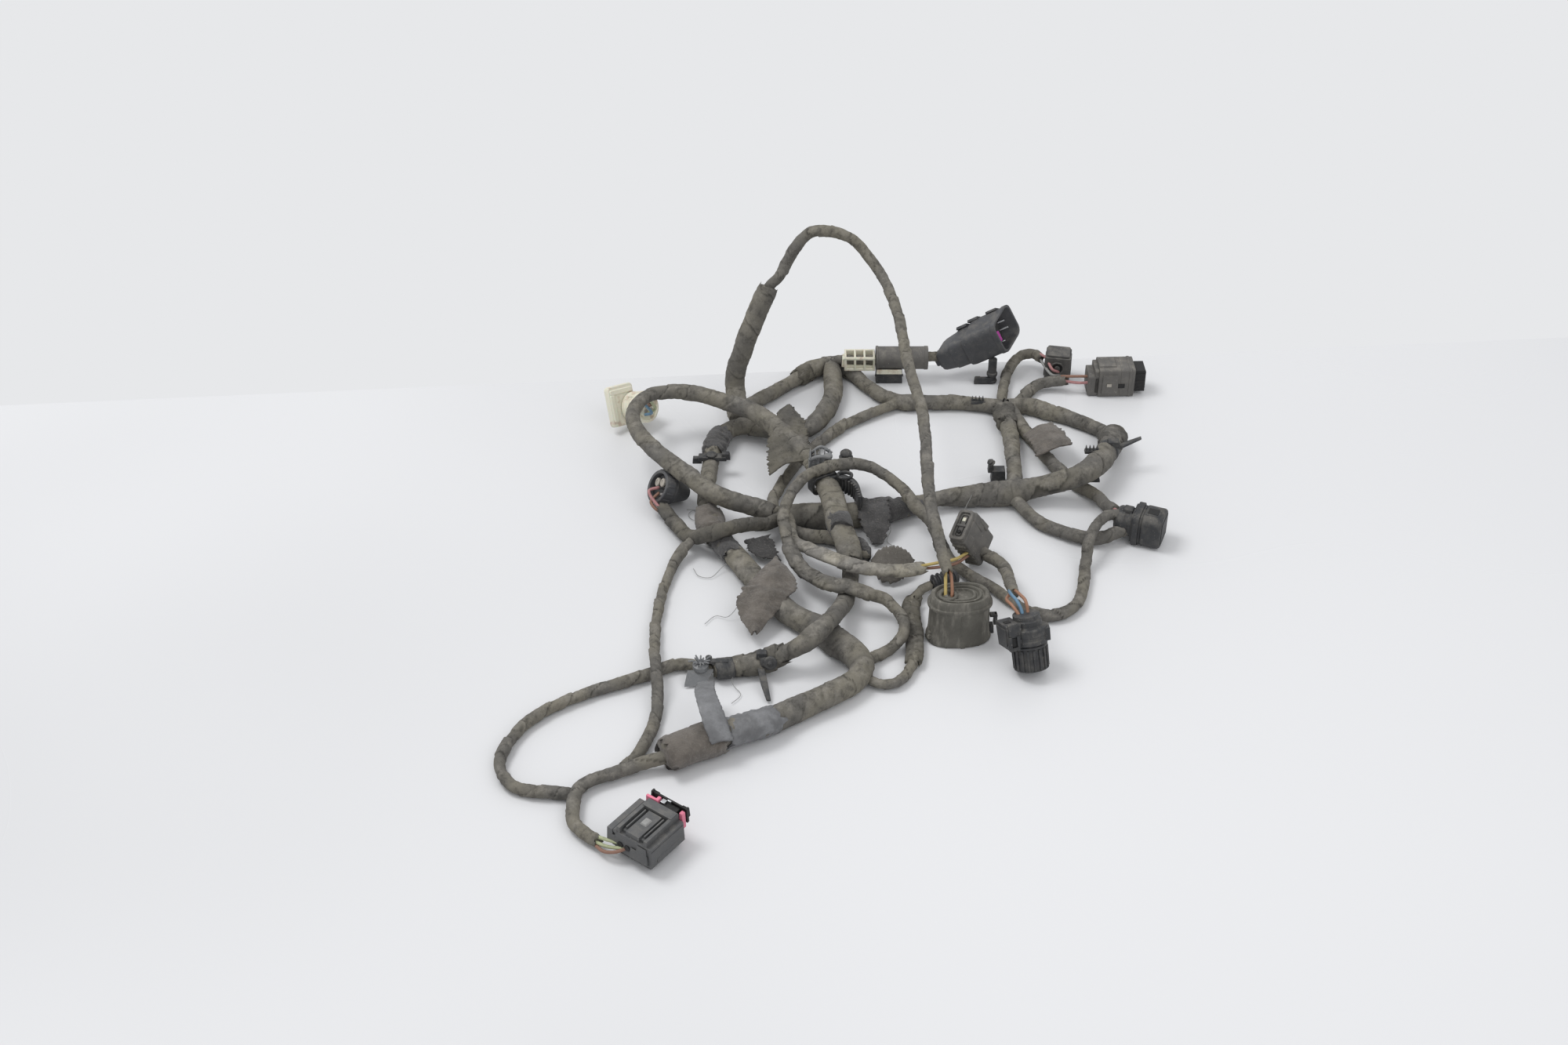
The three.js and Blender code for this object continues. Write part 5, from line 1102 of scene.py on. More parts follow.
def right_connector():
    local = seat((168, -8.5, 9), -22)
    body = Moulding(local)
    lobe = body.turned_by(ALONG_X)
    lobe.turned([(5.4, 0), (6.6, 0.4), (7.4, 1.6), (7.4, 4.6), (6.9, 5.1), (6.9, 6.6), (7.4, 7.1), (7.4, 11.2)], 40)
    for start, end, width, height in ((8.6, 9.8, 15.6, 16.6), (9.6, 12.8, 17.4, 18.2), (12.6, 14.0, 15.8, 16.8)):
        body.loft([[(x, y, z) for y, z in box_outline(width, height, 3.6)] for x in (start, end)])
    outlines = ((13.8, 15.6, 16.4), (14.6, 16.8, 17.6), (23.0, 16.8, 17.6), (24.2, 15.6, 16.6))
    body.loft([[(x, y, z) for y, z in box_outline(width, height, 4.2)] for x, width, height in outlines])
    body.block((14.4, 22.4), (-3.6, 3.6), (8.3, 9.2), 0.5)
    body.block((3.0, 8.4), (-2.6, 2.6), (6.6, 8.4), 0.5)
    body.piece("right_housing_body", "black_plastic", ["right_housing"], 0.4)
    # Painted shade: a thin dark plate across the mouth and one on the top rib.
    recess = Moulding(local)
    recess.block((24.0, 24.5), (-6.0, 6.0), (-6.2, 6.2))
    recess.block((15.6, 21.0), (-2.4, 2.4), (9.0, 9.35))
    recess.piece("right_mouth", "dark_recess", ["right_housing"], 0.1)
    seal = Moulding(local @ ALONG_X)
    seal.turned([(5.0, -0.5), (5.4, -0.2), (5.4, 1.0), (4.6, 1.2)], 30)
    seal.piece("right_wire_seal", "dark_recess", ["right_housing"], 0.1)


def rear_right_connector():
    local = seat((171, 122.5, 8.75), 2)
    body = Moulding(local @ ALONG_X)
    outer, inner = box_outline(17.5, 15, 1.4), box_outline(13.9, 11.4, 1.0)
    body.ring(outer, inner, 14, 22)
    body.prism(outer, 2.2, 14.2)
    body.prism(box_outline(15.2, 13, 1.2), 0, 2.4)
    body.ring(box_outline(18.1, 15.6, 1.6), inner, 18.6, 20.2)
    body.prism(box_outline(12.8, 13.0, 1.2, (2.2, 0.0)), -3.4, 2.4)
    body.piece("rear_right_housing_body", "grey_plastic", ["rear_right_housing"], 0.35)
    latch = Moulding(local)
    latch.block((2, 12), (-4.6, 4.6), (8.4, 9.6), 0.4)
    latch.block((4, 13), (-8.2, -7.2), (-6.2, 5.6), 0.3)
    latch.piece("rear_right_latch", "grey_plastic", ["rear_right_housing"], 0.3)
    slot = Moulding(local)
    slot.block((6.6, 9.2), (-8.4, -8.1), (-1.6, 0.2))
    slot.piece("rear_right_slot", "pale_seal", ["rear_right_housing"], 0.1)
    # Painted shade: a thin dark plate where the side hole is.
    hole = Moulding(local)
    hole.block((11.8, 16.6), (-7.9, -7.45), (-2.8, -0.2))
    hole.piece("rear_right_hole", "dark_recess", ["rear_right_housing"], 0.1)
    core = Moulding(local)
    core.block((14.3, 28.3), (-5.4, 5.4), (-6.6, 6.6), 0.2)
    for step in range(3):
        core.block((20.4, 28.0), (-5.7, 5.7), (-5.6 + step * 4.4, -4.2 + step * 4.4), 0.1)
    core.block((27.4, 28.6), (-4.4, 4.4), (-5.4, 5.4), 0.1)
    core.piece("rear_right_core_body", "dark_recess", ["rear_right_core"], 0.3)


def rear_middle_connector():
    local = seat((153, 136, 0), -10)
    body = Moulding(local)
    body.prism(box_outline(14, 12, 1.2), 0, 15.6)
    body.prism(box_outline(12.6, 10.6, 1.2), 15.4, 17)
    body.block((-5.2, 5.2), (-6.6, -5.6), (2.2, 6.2), 0.2)
    body.block((-7.5, -6.6), (-4.6, 4.6), (3, 13.6), 0.2)
    body.block((6.6, 7.5), (-4.6, 4.6), (3, 13.6), 0.2)
    body.turned_by(move(0, -5.9, 9.4) @ ALONG_MINUS_Y).turned(
        [(3.9, -0.1), (3.9, 0.8), (3.3, 0.9), (3.0, 0.4), (1.6, 0.3), (1.4, 0.8), (0.1, 0.8)], 30)
    body.piece("rear_middle_housing_body", "dark_grey_plastic", ["rear_middle_housing"], 0.4)
    # Painted shade: a dark disc in the hollow of the round boss.
    face = Moulding(local @ move(0, -5.9, 9.4) @ ALONG_MINUS_Y)
    face.turned([(2.9, 0.1), (2.9, 0.45), (1.7, 0.45)], 26)
    face.piece("rear_middle_face", "dark_recess", ["rear_middle_housing"], 0.0)


PLUG_MOUTH = Vector((123.5, 139, 30))
PLUG_NECK = Vector((86, 137, 11.5))
PLUG_ACROSS = Vector((0.63, 0.62, -0.47))
PLUG_UP = Vector((0, 0.6, 0.8))


def plug_outline(share, radius, corner=0.2):
    """A square on its point with rounded corners, across the plug's axis."""
    centre = PLUG_MOUTH.lerp(PLUG_NECK, share)
    side = radius * 1.4
    outline = []
    for x, y in box_outline(side, side, side * corner):
        a, b = (x - y) / math.sqrt(2), (x + y) / math.sqrt(2)
        outline.append(centre + PLUG_ACROSS * a + PLUG_UP * b)
    return outline


def rear_plug():
    body = Moulding(Matrix.Identity(4))
    steps = ((1, 5.1), (0.95, 5.4), (0.94, 6.8), (0.91, 7.6), (0.9, 9.0), (0.86, 9.9), (0.7, 11.4), (0.69, 12.0),
             (0.66, 12.1), (0.5, 12.5), (0.49, 13.8), (0.44, 14.3), (0.34, 14.4), (0.335, 13.6))
    body.loft([plug_outline(share, radius) for share, radius in steps])
    walls = [plug_outline(share, radius) for share, radius in
             ((0.36, 14.4), (0.07, 14.4), (0.06, 15), (0, 15), (0, 13.3), (0.36, 13.1))]
    count = len(walls[0])
    faces = []
    for row in range(len(walls)):
        after = (row + 1) % len(walls)
        for i in range(count):
            j = (i + 1) % count
            faces.append((row * count + i, row * count + j, after * count + j, after * count + i))
    body._add([point for row in walls for point in row], faces)
    axis = (PLUG_MOUTH - PLUG_NECK).normalized()
    for share, radius, reach in ((0.62, 11.8, 1.7), (0.46, 13.4, 1.6), (0.2, 14.0, 1.3)):
        centre = PLUG_MOUTH.lerp(PLUG_NECK, share)
        rib = [centre + PLUG_UP * radius * 0.86 + PLUG_ACROSS * a + axis * b + PLUG_UP * c
               for a, b, c in ((-3, -3, 0), (3, -3, 0), (3, 3, 0), (-3, 3, 0))]
        body.loft([rib, [point + PLUG_UP * reach for point in rib]])
    body.piece("plug_housing_body", "plug_plastic", ["plug_housing"], 0.35)
    # Painted shade: dark walls and floor deep in the plug's mouth.
    floor = Moulding(Matrix.Identity(4))
    floor.loft([plug_outline(0.345, 13.0), plug_outline(0.325, 13.0)])
    floor.loft([plug_outline(0.33, 7.8), plug_outline(0.16, 7.6)])
    floor.piece("plug_socket", "dark_recess", ["plug_housing"], 0.3)
    seal = Moulding(Matrix.Identity(4))
    seal.loft([plug_outline(0.33, 12.6), plug_outline(0.3, 12.6), plug_outline(0.29, 12.0)])
    seal.loft([plug_outline(0.3, 9.0), plug_outline(0.25, 9.0), plug_outline(0.24, 8.5), plug_outline(0.29, 8.0)])
    rim = []
    for a, b in ((-9.6, -2.6), (-4.6, -7.6), (-3.4, -6.2), (-7.8, -1.6)):
        rim.append(PLUG_MOUTH + PLUG_ACROSS * a + PLUG_UP * b)
    seal.loft([[point - axis * depth for point in rim] for depth in (0.5, 12.0)])
    seal.piece("plug_seal_body", "magenta_seal", ["plug_seal"], 0.3)
    pins = Moulding(Matrix.Identity(4))
    for a, b, depth in ((4.2, 2.0, 1.8), (0.4, -6.0, 1.2), (2.2, 6.0, 3.0)):
        tip = PLUG_MOUTH + PLUG_ACROSS * a + PLUG_UP * b - axis * depth
        pins.rod([tip - axis * 9, tip - axis, tip], 0.6, 8)
    pins.piece("plug_pins", "metal", ["plug_housing"], 0.0)
    foot = Moulding(move(116, 131, 0))
    foot.turned([(2.2, 0), (2.9, 0.4), (3.0, 1.4), (2.4, 1.8), (2.4, 4.2), (3.0, 4.6), (3.0, 6.2), (2.4, 6.6), (2.4, 15)], 26)
    foot.block((-10, 0), (-2.8, -0.3), (0, 3.8), 0.3)
    foot.block((-9.6, -6), (-2.4, 1.4), (0, 3), 0.3)
    foot.piece("plug_foot_body", "black_plastic", ["plug_foot_clip"], 0.25)


def slab_connector():
    local = facing((97.9, -30, 5.4), (-0.45, -0.27, 0.85), (0.4, 0.8, 0.46))
    body = Moulding(local)
    body.prism(box_outline(9, 18, 1.6), 0.2, 22.4)
    body.prism(box_outline(8.2, 17.2, 1.4), 22.2, 23.6)
    body.block((-4.2, 4.9), (-9.2, -2.0), (16.0, 22.2), 0.4)
    body.block((2.0, 5.0), (3.6, 9.3), (12.2, 22.8), 0.4)
    body.block((2.0, 5.4), (6.2, 9.4), (9.0, 17.4), 0.3)
    body.piece("slab_housing_body", "grey_plastic", ["slab_housing"], 0.7)
    frame_end = Moulding(local)
    frame_end.ring(box_outline(8.4, 16.8, 1.8), box_outline(5.6, 13.8, 1.3), 23.2, 24.8)
    frame_end.block((-2.9, 2.9), (-0.8, 0.8), (23.4, 24.4), 0.2)
    frame_end.piece("slab_end_frame", "grey_plastic", ["slab_housing"], 0.35)
    slot = Moulding(local)
    slot.block((-0.9, 0.9), (2.4, 4.4), (23.5, 24.1))
    slot.piece("slab_slot", "cream_plastic", ["slab_housing"], 0.2)
    # Painted shade: a thin dark ring, bar and cup where the end's openings are.
    hole = Moulding(local)
    hole.ring(box_outline(3.4, 11.6, 0.8), box_outline(2.8, 11.0, 0.6), 23.6, 24.0)
    hole.block((-0.9, 0.9), (-4.6, -3.0), (23.5, 23.9))
    hole.turned_by(move(0, -3.6, 23.6)).turned([(1.0, 0), (1.0, 0.7), (0.6, 0.8)], 14)
    hole.piece("slab_hole", "dark_recess", ["slab_housing"], 0.1)
    folds = Moulding(local)
    for step in range(6):
        low = 1.2 + step * 3.3
        folds.loft([[(-3.6, -9.0, low), (3.9, -9.2, low - 0.5), (3.7, -7.9, low - 0.4), (-3.6, -7.9, low)],
                    [(-3.7, -9.9, low + 1.7), (3.8, -9.7 - 0.2 * (step % 2), low + 1.1), (3.7, -8.0, low + 1.2),
                     (-3.7, -8.0, low + 1.7)],
                    [(-3.6, -9.0, low + 2.6), (3.7, -9.1, low + 2.2), (3.7, -8.0, low + 2.2), (-3.6, -8.0, low + 2.6)]])
    folds.piece("slab_folds", "boot_rubber", ["slab_housing"], 0.5)


def rear_sleeve():
    local = seat((51, 134, 0), 0)
    sleeve = Moulding(local @ move(0, 0, 13.9) @ ALONG_X)
    outline = oval_outline(13, 12, 36)
    hollow = oval_outline(8.6, 7.4, 36)
    sleeve.ring(outline, hollow, 0, 29)
    sleeve.ring(oval_outline(13.6, 12.6, 36), hollow, 0, 1.4)
    sleeve.ring(oval_outline(13.5, 12.5, 36), hollow, 26.8, 29)
    sleeve.piece("rear_sleeve_body", "grey_plastic", ["rear_sleeve"], 0.3)
    foot = Moulding(local)
    foot.block((0.2, 15), (-4.8, 4.8), (0, 8.6), 0.3)
    foot.block((-0.4, 15.4), (-5.1, -4.2), (4.8, 6.2), 0.2)
    foot.block((1.6, 13.6), (-5.0, -4.4), (1.2, 3.6), 0.2)
    foot.piece("rear_sleeve_foot", "black_plastic", ["rear_sleeve"], 0.3)
    base = Moulding(local)
    base.block((-17.5, -0.3), (-3.6, 5), (8.2, 10.6), 0.2)
    base.block((-17.5, -0.3), (3.4, 5), (8.2, 16.6), 0.2)
    base.block((-17.5, -0.3), (-5, -3.6), (8.2, 9.8), 0.1)
    base.block((-17.5, -0.3), (-5, -3.4), (15.2, 16.6), 0.1)
    for step in range(4):
        start = -17.5 + step * 5.3
        base.block((start, start + 1.3), (-5, 4), (8.2, 16.6), 0.1)
    base.block((-19, -15.8), (-3.2, 3.2), (9.6, 14.8), 0.5)
    base.piece("cream_socket_body", "cream_plastic", ["cream_socket_base"], 0.3)
    strip = Moulding(local)
    strip.block((0.4, 14.6), (-5.6, -4.4), (6.4, 9.2), 0.3)
    strip.piece("cream_socket_strip", "cream_plastic", ["cream_socket_base"], 0.2)


def ribbon(name, left, right, material, nodes, wrinkle=1.0, seed=1, fray=0.8, columns=16, sag=0.0, crown=0.0):
    """A loose flap between two edges, given as places in millimetres from end to end."""
    rows_left, rows_right = (smooth_line(edge, 0.9) for edge in (left, right))
    count = max(len(rows_left), len(rows_right))
    rows_left, rows_right = (resampled(edge, count) for edge in (rows_left, rows_right))
    chance = random.Random(seed)
    shift = seed * 3.7
    points = []
    for row, (a, b) in enumerate(zip(rows_left, rows_right)):
        ends = min(row, count - 1 - row)
        a = a + (a - b) * chance.uniform(-0.02, 0.04) * fray
        b = b + (b - a) * chance.uniform(-0.02, 0.04) * fray
        for column in range(columns + 1):
            share = column / columns
            point = a + (b - a) * share
            bend = math.sin(share * math.pi)
            spot = Vector((point[0] / 7 + shift, point[1] / 7, point[2] / 9))
            ripple = noise.noise(spot) * wrinkle + noise.noise(spot * 3.1) * wrinkle * 0.35
            lift = ripple + crown * bend - sag * bend
            slide = chance.uniform(-0.5, 0.5) * fray if ends == 0 else 0.0
            points.append((point[0] + slide, point[1] + slide * 0.6, max(0.4, point[2] + lift)))
    faces = []
    width = columns + 1
    for row in range(count - 1):
        for column in range(columns):
            a = row * width + column
            faces.append((a, a + 1, a + width + 1, a + width))
    flap = show(name, [placed(point) for point in points], faces, material, nodes)
    thick = flap.modifiers.new("Cloth thickness", "SOLIDIFY")
    thick.thickness = 0.7 * MM
    thick.offset = 0.0
    return flap


def resampled(line, count):
    share = np.linspace(0, len(line) - 1, count)
    return np.stack([np.interp(share, np.arange(len(line)), line[:, i]) for i in range(3)], axis=1)


def wrap_flags():
    trunk = ribbon("trunk_felt_leaf", [(-5, -48, 13), (-13, -61, 14), (-20, -71, 13), (-22.5, -79, 10.5), (-19, -90, 7), (-15, -97, 6)],
                   [(-3, -48, 12.5), (3, -58, 13), (6, -67, 12), (1, -76, 11), (-6, -86, 8), (-13, -96, 6)],
                   "felt", ["trunk_felt_flag"], 1.4, 3, 1.0, 22, crown=2.6)
    upper = ribbon("upper_tape_leaf", [(1, 71, 23), (-5, 60, 23), (-7, 50, 20), (-8, 38, 16), (-7, 25, 12)],
                   [(5, 69, 23), (10, 58, 23.5), (12, 48, 22), (12, 38, 20.5), (10, 29, 18)],
                   "clean_tape", ["upper_tape_flag"], 1.2, 5, 1.8, 20, crown=2.0)
    frayed = ribbon("frayed_leaf", [(36, 3, 14.2), (38, -6, 11), (40, -14, 7), (45, -21, 3)],
                    [(52, 2, 13.5), (53, -7, 11), (52, -15, 6), (50, -21, 3)],
                    "black_cloth", ["frayed_flag"], 1.2, 7, 2.6, 18)
    side = ribbon("side_felt_leaf", [(128, 66, 9), (131, 56, 9.5), (133, 45, 9)],
                  [(143, 73, 12), (149, 62, 12.5), (152, 53, 12)],
                  "felt", ["side_felt_flag"], 0.9, 9, 1.2, 16, crown=1.6)
    disc = ribbon("yellow_lead_leaf", [(43, -42, 6), (47, -50, 3), (54, -52, 2), (62, -46, 4), (64, -42, 6)],
                  [(43, -41, 8), (47, -37, 11), (54, -36, 12), (61, -38, 10), (64, -41, 7)],
                  "worn_cloth", None, 0.8, 15, 1.6, 14)
    torn = ribbon("cross_run_leaf", [(-19, -27, 10), (-17, -32, 7), (-12, -35, 5)],
                  [(-8, -24, 10), (-4, -30, 6), (-2, -36, 3)],
                  "black_cloth", None, 1.0, 17, 2.6, 12)
    strap = ribbon("grey_strap_loop", [(-32, -179, 12), (-35, -174, 18), (-38, -165, 22), (-40, -153, 20), (-39.3, -139, 13)],
                   [(-22.4, -176, 12), (-25.4, -169, 17), (-29, -160, 21), (-31, -151, 19), (-31.8, -138, 13)],
                   "clear_tape", ["grey_loop_strap"], 0.5, 11, 0.6, 12, crown=0.8)


def wrapped_part(name, cord, start, end, width, height, winding, material, nodes, seed, rag=1.4, sides=30):
    """A wrap round a stretch of a cord, from one share of its length to another."""
    line = smooth_line(CORDS[cord]["points"], 0.8)
    part = line[int(start * (len(line) - 1)): int(end * (len(line) - 1)) + 1]
    return taped_tube(name, part, width, height, winding, material, nodes, sides, rag, seed)


# Short bands of other tape or felt, and one dark band painted as the upper loop's shadow on the trunk: name, cord,
# start and end as shares of its length, width, finish, seed.
BANDS = (
    # Painted shadow: this dark band lies where the upper loop's shadow falls on the trunk.
    ("trunk_loop_shadow_band", "main_trunk", 0.70, 0.745, 11.6, "black_cloth", 61),
    ("trunk_felt_band", "main_trunk", 0.535, 0.578, 15.0, "felt", 62),
    ("trunk_black_band", "main_trunk", 0.488, 0.522, 13.4, "black_cloth", 63),
    ("rear_band_left", "rear_run", 0.175, 0.225, 10.6, "clean_tape", 64),
    ("rear_band_middle", "rear_run", 0.26, 0.285, 9.6, "black_cloth", 65),
    ("rear_band_right", "rear_run", 0.30, 0.33, 9.8, "clean_tape", 66),
    ("short_link_knot", "short_link", 0.0, 0.22, 11.4, "clean_tape", 67),
    ("right_trunk_knot", "right_trunk", 0.0, 0.10, 13.2, "clean_tape", 68),
    ("flat_run_scuff", "flat_run", 0.64, 0.76, 13.0, "black_cloth", 69),
    ("long_lead_band", "long_lead", 0.60, 0.625, 7.0, "clean_tape", 70),
)


def sleeves():
    wrapped_part("felt_sleeve_wrap", "main_trunk", 0.0, 0.063, 16.6, 14.8,
                 Winding(31, 60, 0.7, 0.09, 0.7), "felt", ["felt_sleeve"], 31, 2.2)
    wrapped_part("grey_tape_wrap", "main_trunk", 0.066, 0.126, 15.6, 13.4,
                 Winding(33, 24, 0.4, 0.08, 0.9), "clear_tape", ["grey_tape"], 33, 2.4)
    wrapped_part("tape_run_torn_wrap", "tape_run", 0.74, 0.93, 10.6, 8.6,
                 Winding(35, 9, 0.6, 0.16, 0.8), "clean_tape", None, 35, 2.6)
    wrapped_part("right_trunk_funnel", "right_trunk", 0.68, 0.785, 11.2, 10.8,
                 Winding(37, 13, 0.7, 0.12, 0.7, swells=((1.0, 2.2, 9),)), "black_cloth", None, 37, 3.4)
    for name, cord, start, end, width, material, seed in BANDS:
        wrapped_part(name, cord, start, end, width, width * 0.94,
                     Winding(seed, 11, 0.5, 0.15, 0.9, fuzz=0.5), material, None, seed, 2.4)
    wrapped_part("stub_torn_end", "short_stub", 0.78, 1.0, 7.4, 6.8,
                 Winding(39, 5, 0.6, 0.2, 0.9), "black_cloth", None, 39, 2.4)
    wrapped_part("under_branch_wrap", "under_branch", 0.36, 0.86, 8.4, 4.8,
                 Winding(41, 12, 0.4, 0.14, 0.6), "clean_tape", None, 41, 2.0)
    wrapped_part("long_lead_flat_wrap", "long_lead", 0.14, 0.27, 8.0, 5.8,
                 Winding(43, 11, 0.4, 0.1, 0.5), "cloth_tape", None, 43, 1.6)


def small_clips():
    """Fins and saddles that sit on the cords' tape."""
    saddle = Moulding(Matrix.Identity(4))
    saddle.block((-45, -30), (40.5, 45.5), (9.4, 11.6), 0.4)
    saddle.block((-48, -43), (41.4, 44.6), (7.2, 10.6), 0.4)
    saddle.block((-33, -28), (41.0, 45.0), (9.8, 13.4), 0.6)
    saddle.turned_by(move(-38, 43, 11.2)).turned([(2.4, 0), (2.8, 0.5), (2.8, 1.4), (1.6, 1.9), (0.3, 2.0)], 22)
    saddle.piece("trunk_saddle", "black_plastic", None, 0.3)
    collar = Moulding(facing((20, 13.5, 16), (0.5, -0.86, 0.0), (0, 0, 1)))
    collar.ring(box_outline(15.4, 10.8, 3.4), box_outline(12.8, 8.4, 2.6), -2.6, 2.6)
    collar.turned_by(move(5.2, 4.6, 0) @ spin(90, "Y")).turned([(1.7, -1.2), (2.0, -0.8), (2.0, 0.8), (1.4, 1.2)], 18)
    collar.piece("flat_run_collar", "black_plastic", None, 0.35)
    fins = Moulding(Matrix.Identity(4))
    for x, y, z in ((106, 101, 6.6), (160, 37, 18.6), (159.5, 26, 8.4)):
        for step in range(4):
            fins.block((x - 3.6 + step * 1.9, x - 2.7 + step * 1.9), (y - 1.3, y + 1.3), (z, z + 3.2), 0.25)
        fins.block((x - 4, x + 4), (y - 1.7, y + 1.7), (z - 0.8, z + 0.9), 0.2)
    fins.piece("tape_fins", "black_plastic", None, 0.2)


def clips():
    wrapped_part("front_clip_collar", "tape_run", 0.935, 1.0, 12.0, 9.4,
                 Winding(51, 30, 0.1, 0.02, 0.1), "black_plastic", ["front_clip"], 51, 0.4)
    knobs = Moulding(move(-31, -119, 0))
    for step in range(4):
        knobs.turned_by(move(-4 + step * 2.6, 2.2 - step * 0.6, 6) @ spin(35 * step, "X")).turned(
            [(0.8, 0), (1.8, 0.4), (1.8, 1.3), (0.9, 1.8), (0.9, 2.6), (1.6, 3.0), (1.6, 3.8), (0.4, 4.4)], 14)
    knobs.block((-5.6, 5.4), (-1.6, 1.6), (8.6, 9.8), 0.3)
    knobs.piece("front_clip_knobs", "black_plastic", ["front_clip"], 0.2)
    tines = Moulding(move(-38.7, -120.0, 2.6))
    tines.turned([(3.2, 2.6), (3.8, 3.4), (3.8, 5.4), (2.4, 6.2), (0.4, 6.4)], 24)
    for step in range(12):
        angle = step / 12 * math.tau
        reach = 4.4 + 1.4 * math.sin(step * 2.3)
        x, y = reach * math.cos(angle), reach * 0.8 * math.sin(angle)
        tines.rod([(0, 0, 4.5), (x * 0.6, y * 0.6, 7.4), (x, y, 7.8 + 0.8 * math.sin(step * 1.7))], 0.45, 6)
    tines.loft([[(-6, -2, 3.6), (6, -1, 3.6), (6, -2, 2.8), (-6, -3, 2.8)],
                [(-7.4, -7, -0.8), (1.6, -6, -0.8), (1.6, -7, -1.6), (-7.4, -8, -1.6)]])
    tines.piece("front_clip_tines", "shiny_plastic", ["front_clip"], 0.1)
    wrapped_part("front_tie_band", "tape_run", 0.8, 0.83, 11.6, 10.4,
                 Winding(53, 30, 0.0, 0.0, 0.0), "black_plastic", ["front_tie"], 53, 0.1)
    tail = Moulding(Matrix.Identity(4))
    tail.loft([[(-12.4, -121, 5.2), (-9.0, -120.4, 5.2), (-9.0, -120.4, 6.6), (-12.4, -121, 6.6)],
               [(-10.6, -130, 3.4), (-7.4, -129.6, 3.4), (-7.4, -129.6, 4.8), (-10.6, -130, 4.8)],
               [(-8.0, -138, 1.0), (-6.0, -138, 1.0), (-6.0, -138, 2.0), (-8.0, -138, 2.0)]])
    tail.block((-13, -7.6), (-118.6, -114.4), (9.6, 12.8), 0.5)
    tail.piece("front_tie_tail", "black_plastic", ["front_tie"], 0.3)
    stud = Moulding(move(-6.4, -118.5, 8) @ spin(62, "X"))
    stud.turned([(2.6, 0), (3.3, 0.8), (3.3, 2.6), (2.7, 3.1), (1.2, 3.2), (1.0, 4.2), (0.3, 4.6)], 26)
    stud.piece("tape_run_stud", "black_plastic", ["front_tie"], 0.2)
    link = Moulding(Matrix.Identity(4))
    link.block((108, 115.6), (32.4, 38.6), (1, 8.6), 0.4)
    link.block((106.2, 109.4), (33.4, 37.6), (7, 12), 0.4)
    link.turned_by(move(108.4, 35.4, 11.4) @ spin(-35, "Y")).turned([(1.8, 0), (2.3, 0.5), (1.4, 1.4), (2.0, 1.9), (0.5, 3.4)], 16)
    link.piece("link_clip_body", "black_plastic", ["link_clip"], 0.3)
    wrapped_part("corner_tie_band", "right_trunk", 0.12, 0.14, 13.2, 13.2,
                 Winding(55, 30, 0.0, 0.0, 0.0, fuzz=0.0), "black_plastic", ["corner_tie"], 55, 0.1)
    corner = Moulding(Matrix.Identity(4))
    corner.loft([[(173, 44.6, 12.4), (173, 48.2, 12.4), (173, 48.2, 13.8), (173, 44.6, 13.8)],
                 [(180, 46.2, 15.2), (180, 49.4, 15.2), (180, 49.4, 16.6), (180, 46.2, 16.6)],
                 [(187, 47.4, 18.4), (187, 49.8, 18.4), (187, 49.8, 19.3), (187, 47.4, 19.3)]])
    corner.block((168.5, 175.5), (42, 47.6), (16.8, 20.0), 0.7)
    corner.piece("corner_tie_tail", "black_plastic", ["corner_tie"], 0.3)
    tree = Moulding(move(32, 30, 13))
    tree.turned([(1.0, 0), (1.0, 1.5), (3.9, 1.8), (3.8, 2.3), (1.0, 2.7), (1.0, 3.9), (3.9, 4.2), (3.8, 4.7), (1.0, 5.1),
                 (1.0, 6.3), (3.7, 6.6), (3.6, 7.1), (1.0, 7.5), (1.0, 8.6), (3.2, 8.9), (3.0, 9.6), (2.0, 10.6),
                 (0.4, 11.4)], 26)
    tree.block((-14, 2), (-3, 3), (0, 2), 0.3)
    tree.piece("fir_tree_body", "black_plastic", ["fir_tree_clip"], 0.15)
    comb = Moulding(Matrix.Identity(4))
    comb.block((12.5, 24.5), (18.5, 27.5), (20, 23.4), 0.4)
    for step in range(5):
        comb.block((12.9 + step * 2.5, 14.1 + step * 2.5), (18.6, 27.4), (22.6, 27.2), 0.35)
    comb.rod([(13, 20, 25), (18.5, 18.4, 28.2), (24, 20.4, 25.4)], 1.1)
    comb.rod([(13.5, 27, 24), (19, 28.2, 27.4), (24.6, 26.4, 24.6)], 0.9)
    comb.turned_by(move(22.6, 21.2, 25.4)).turned([(1.9, 0), (2.2, 0.6), (2.2, 1.8), (1.2, 2.4), (0.3, 2.5)], 20)
    comb.piece("comb_clip_body", "shiny_plastic", ["comb_clip"], 0.3)
    strap = ribbon("edge_strap_body", [(22, 12.4, 20), (29, 13.2, 20.4), (35.5, 8.4, 20.4), (38.6, -4, 19)],
                   [(22, 11.4, 12), (29, 12.2, 12), (35.5, 7.4, 11.4), (38.6, -4, 11.4)],
                   "black_plastic", ["edge_strap"], 0.2, 13, 0.3, 10)
    strap.modifiers[0].thickness = 2.2 * MM
    ridges = Moulding(Matrix.Identity(4))
    edge = smooth_line([(30, 11.6, 0), (35, 7.4, 0), (37.4, 1.6, 0), (38.2, -3.6, 0)], 2.1)
    for x, y, _ in edge:
        ridges.rod([(x - 0.2, y - 1.2, 11.8), (x + 0.1, y - 1.5, 15.6), (x - 0.2, y - 1.2, 20.2)], 0.75, 8)
    coil = [(31 + 3.6 * math.cos(a), 12 + 2.6 * math.sin(a), 20.6 + 0.35 * a / math.tau)
            for a in np.linspace(0, 2.6 * math.tau, 40)]
    ridges.rod(coil, 0.75, 8)
    ridges.piece("edge_strap_ridges", "black_plastic", ["edge_strap"], 0.0)
    small_clips()
    ribbed = Moulding(move(72.4, -55.8, 4.5) @ spin(22) @ spin(84, "Y"))
    profile = [(2.8, 0)]
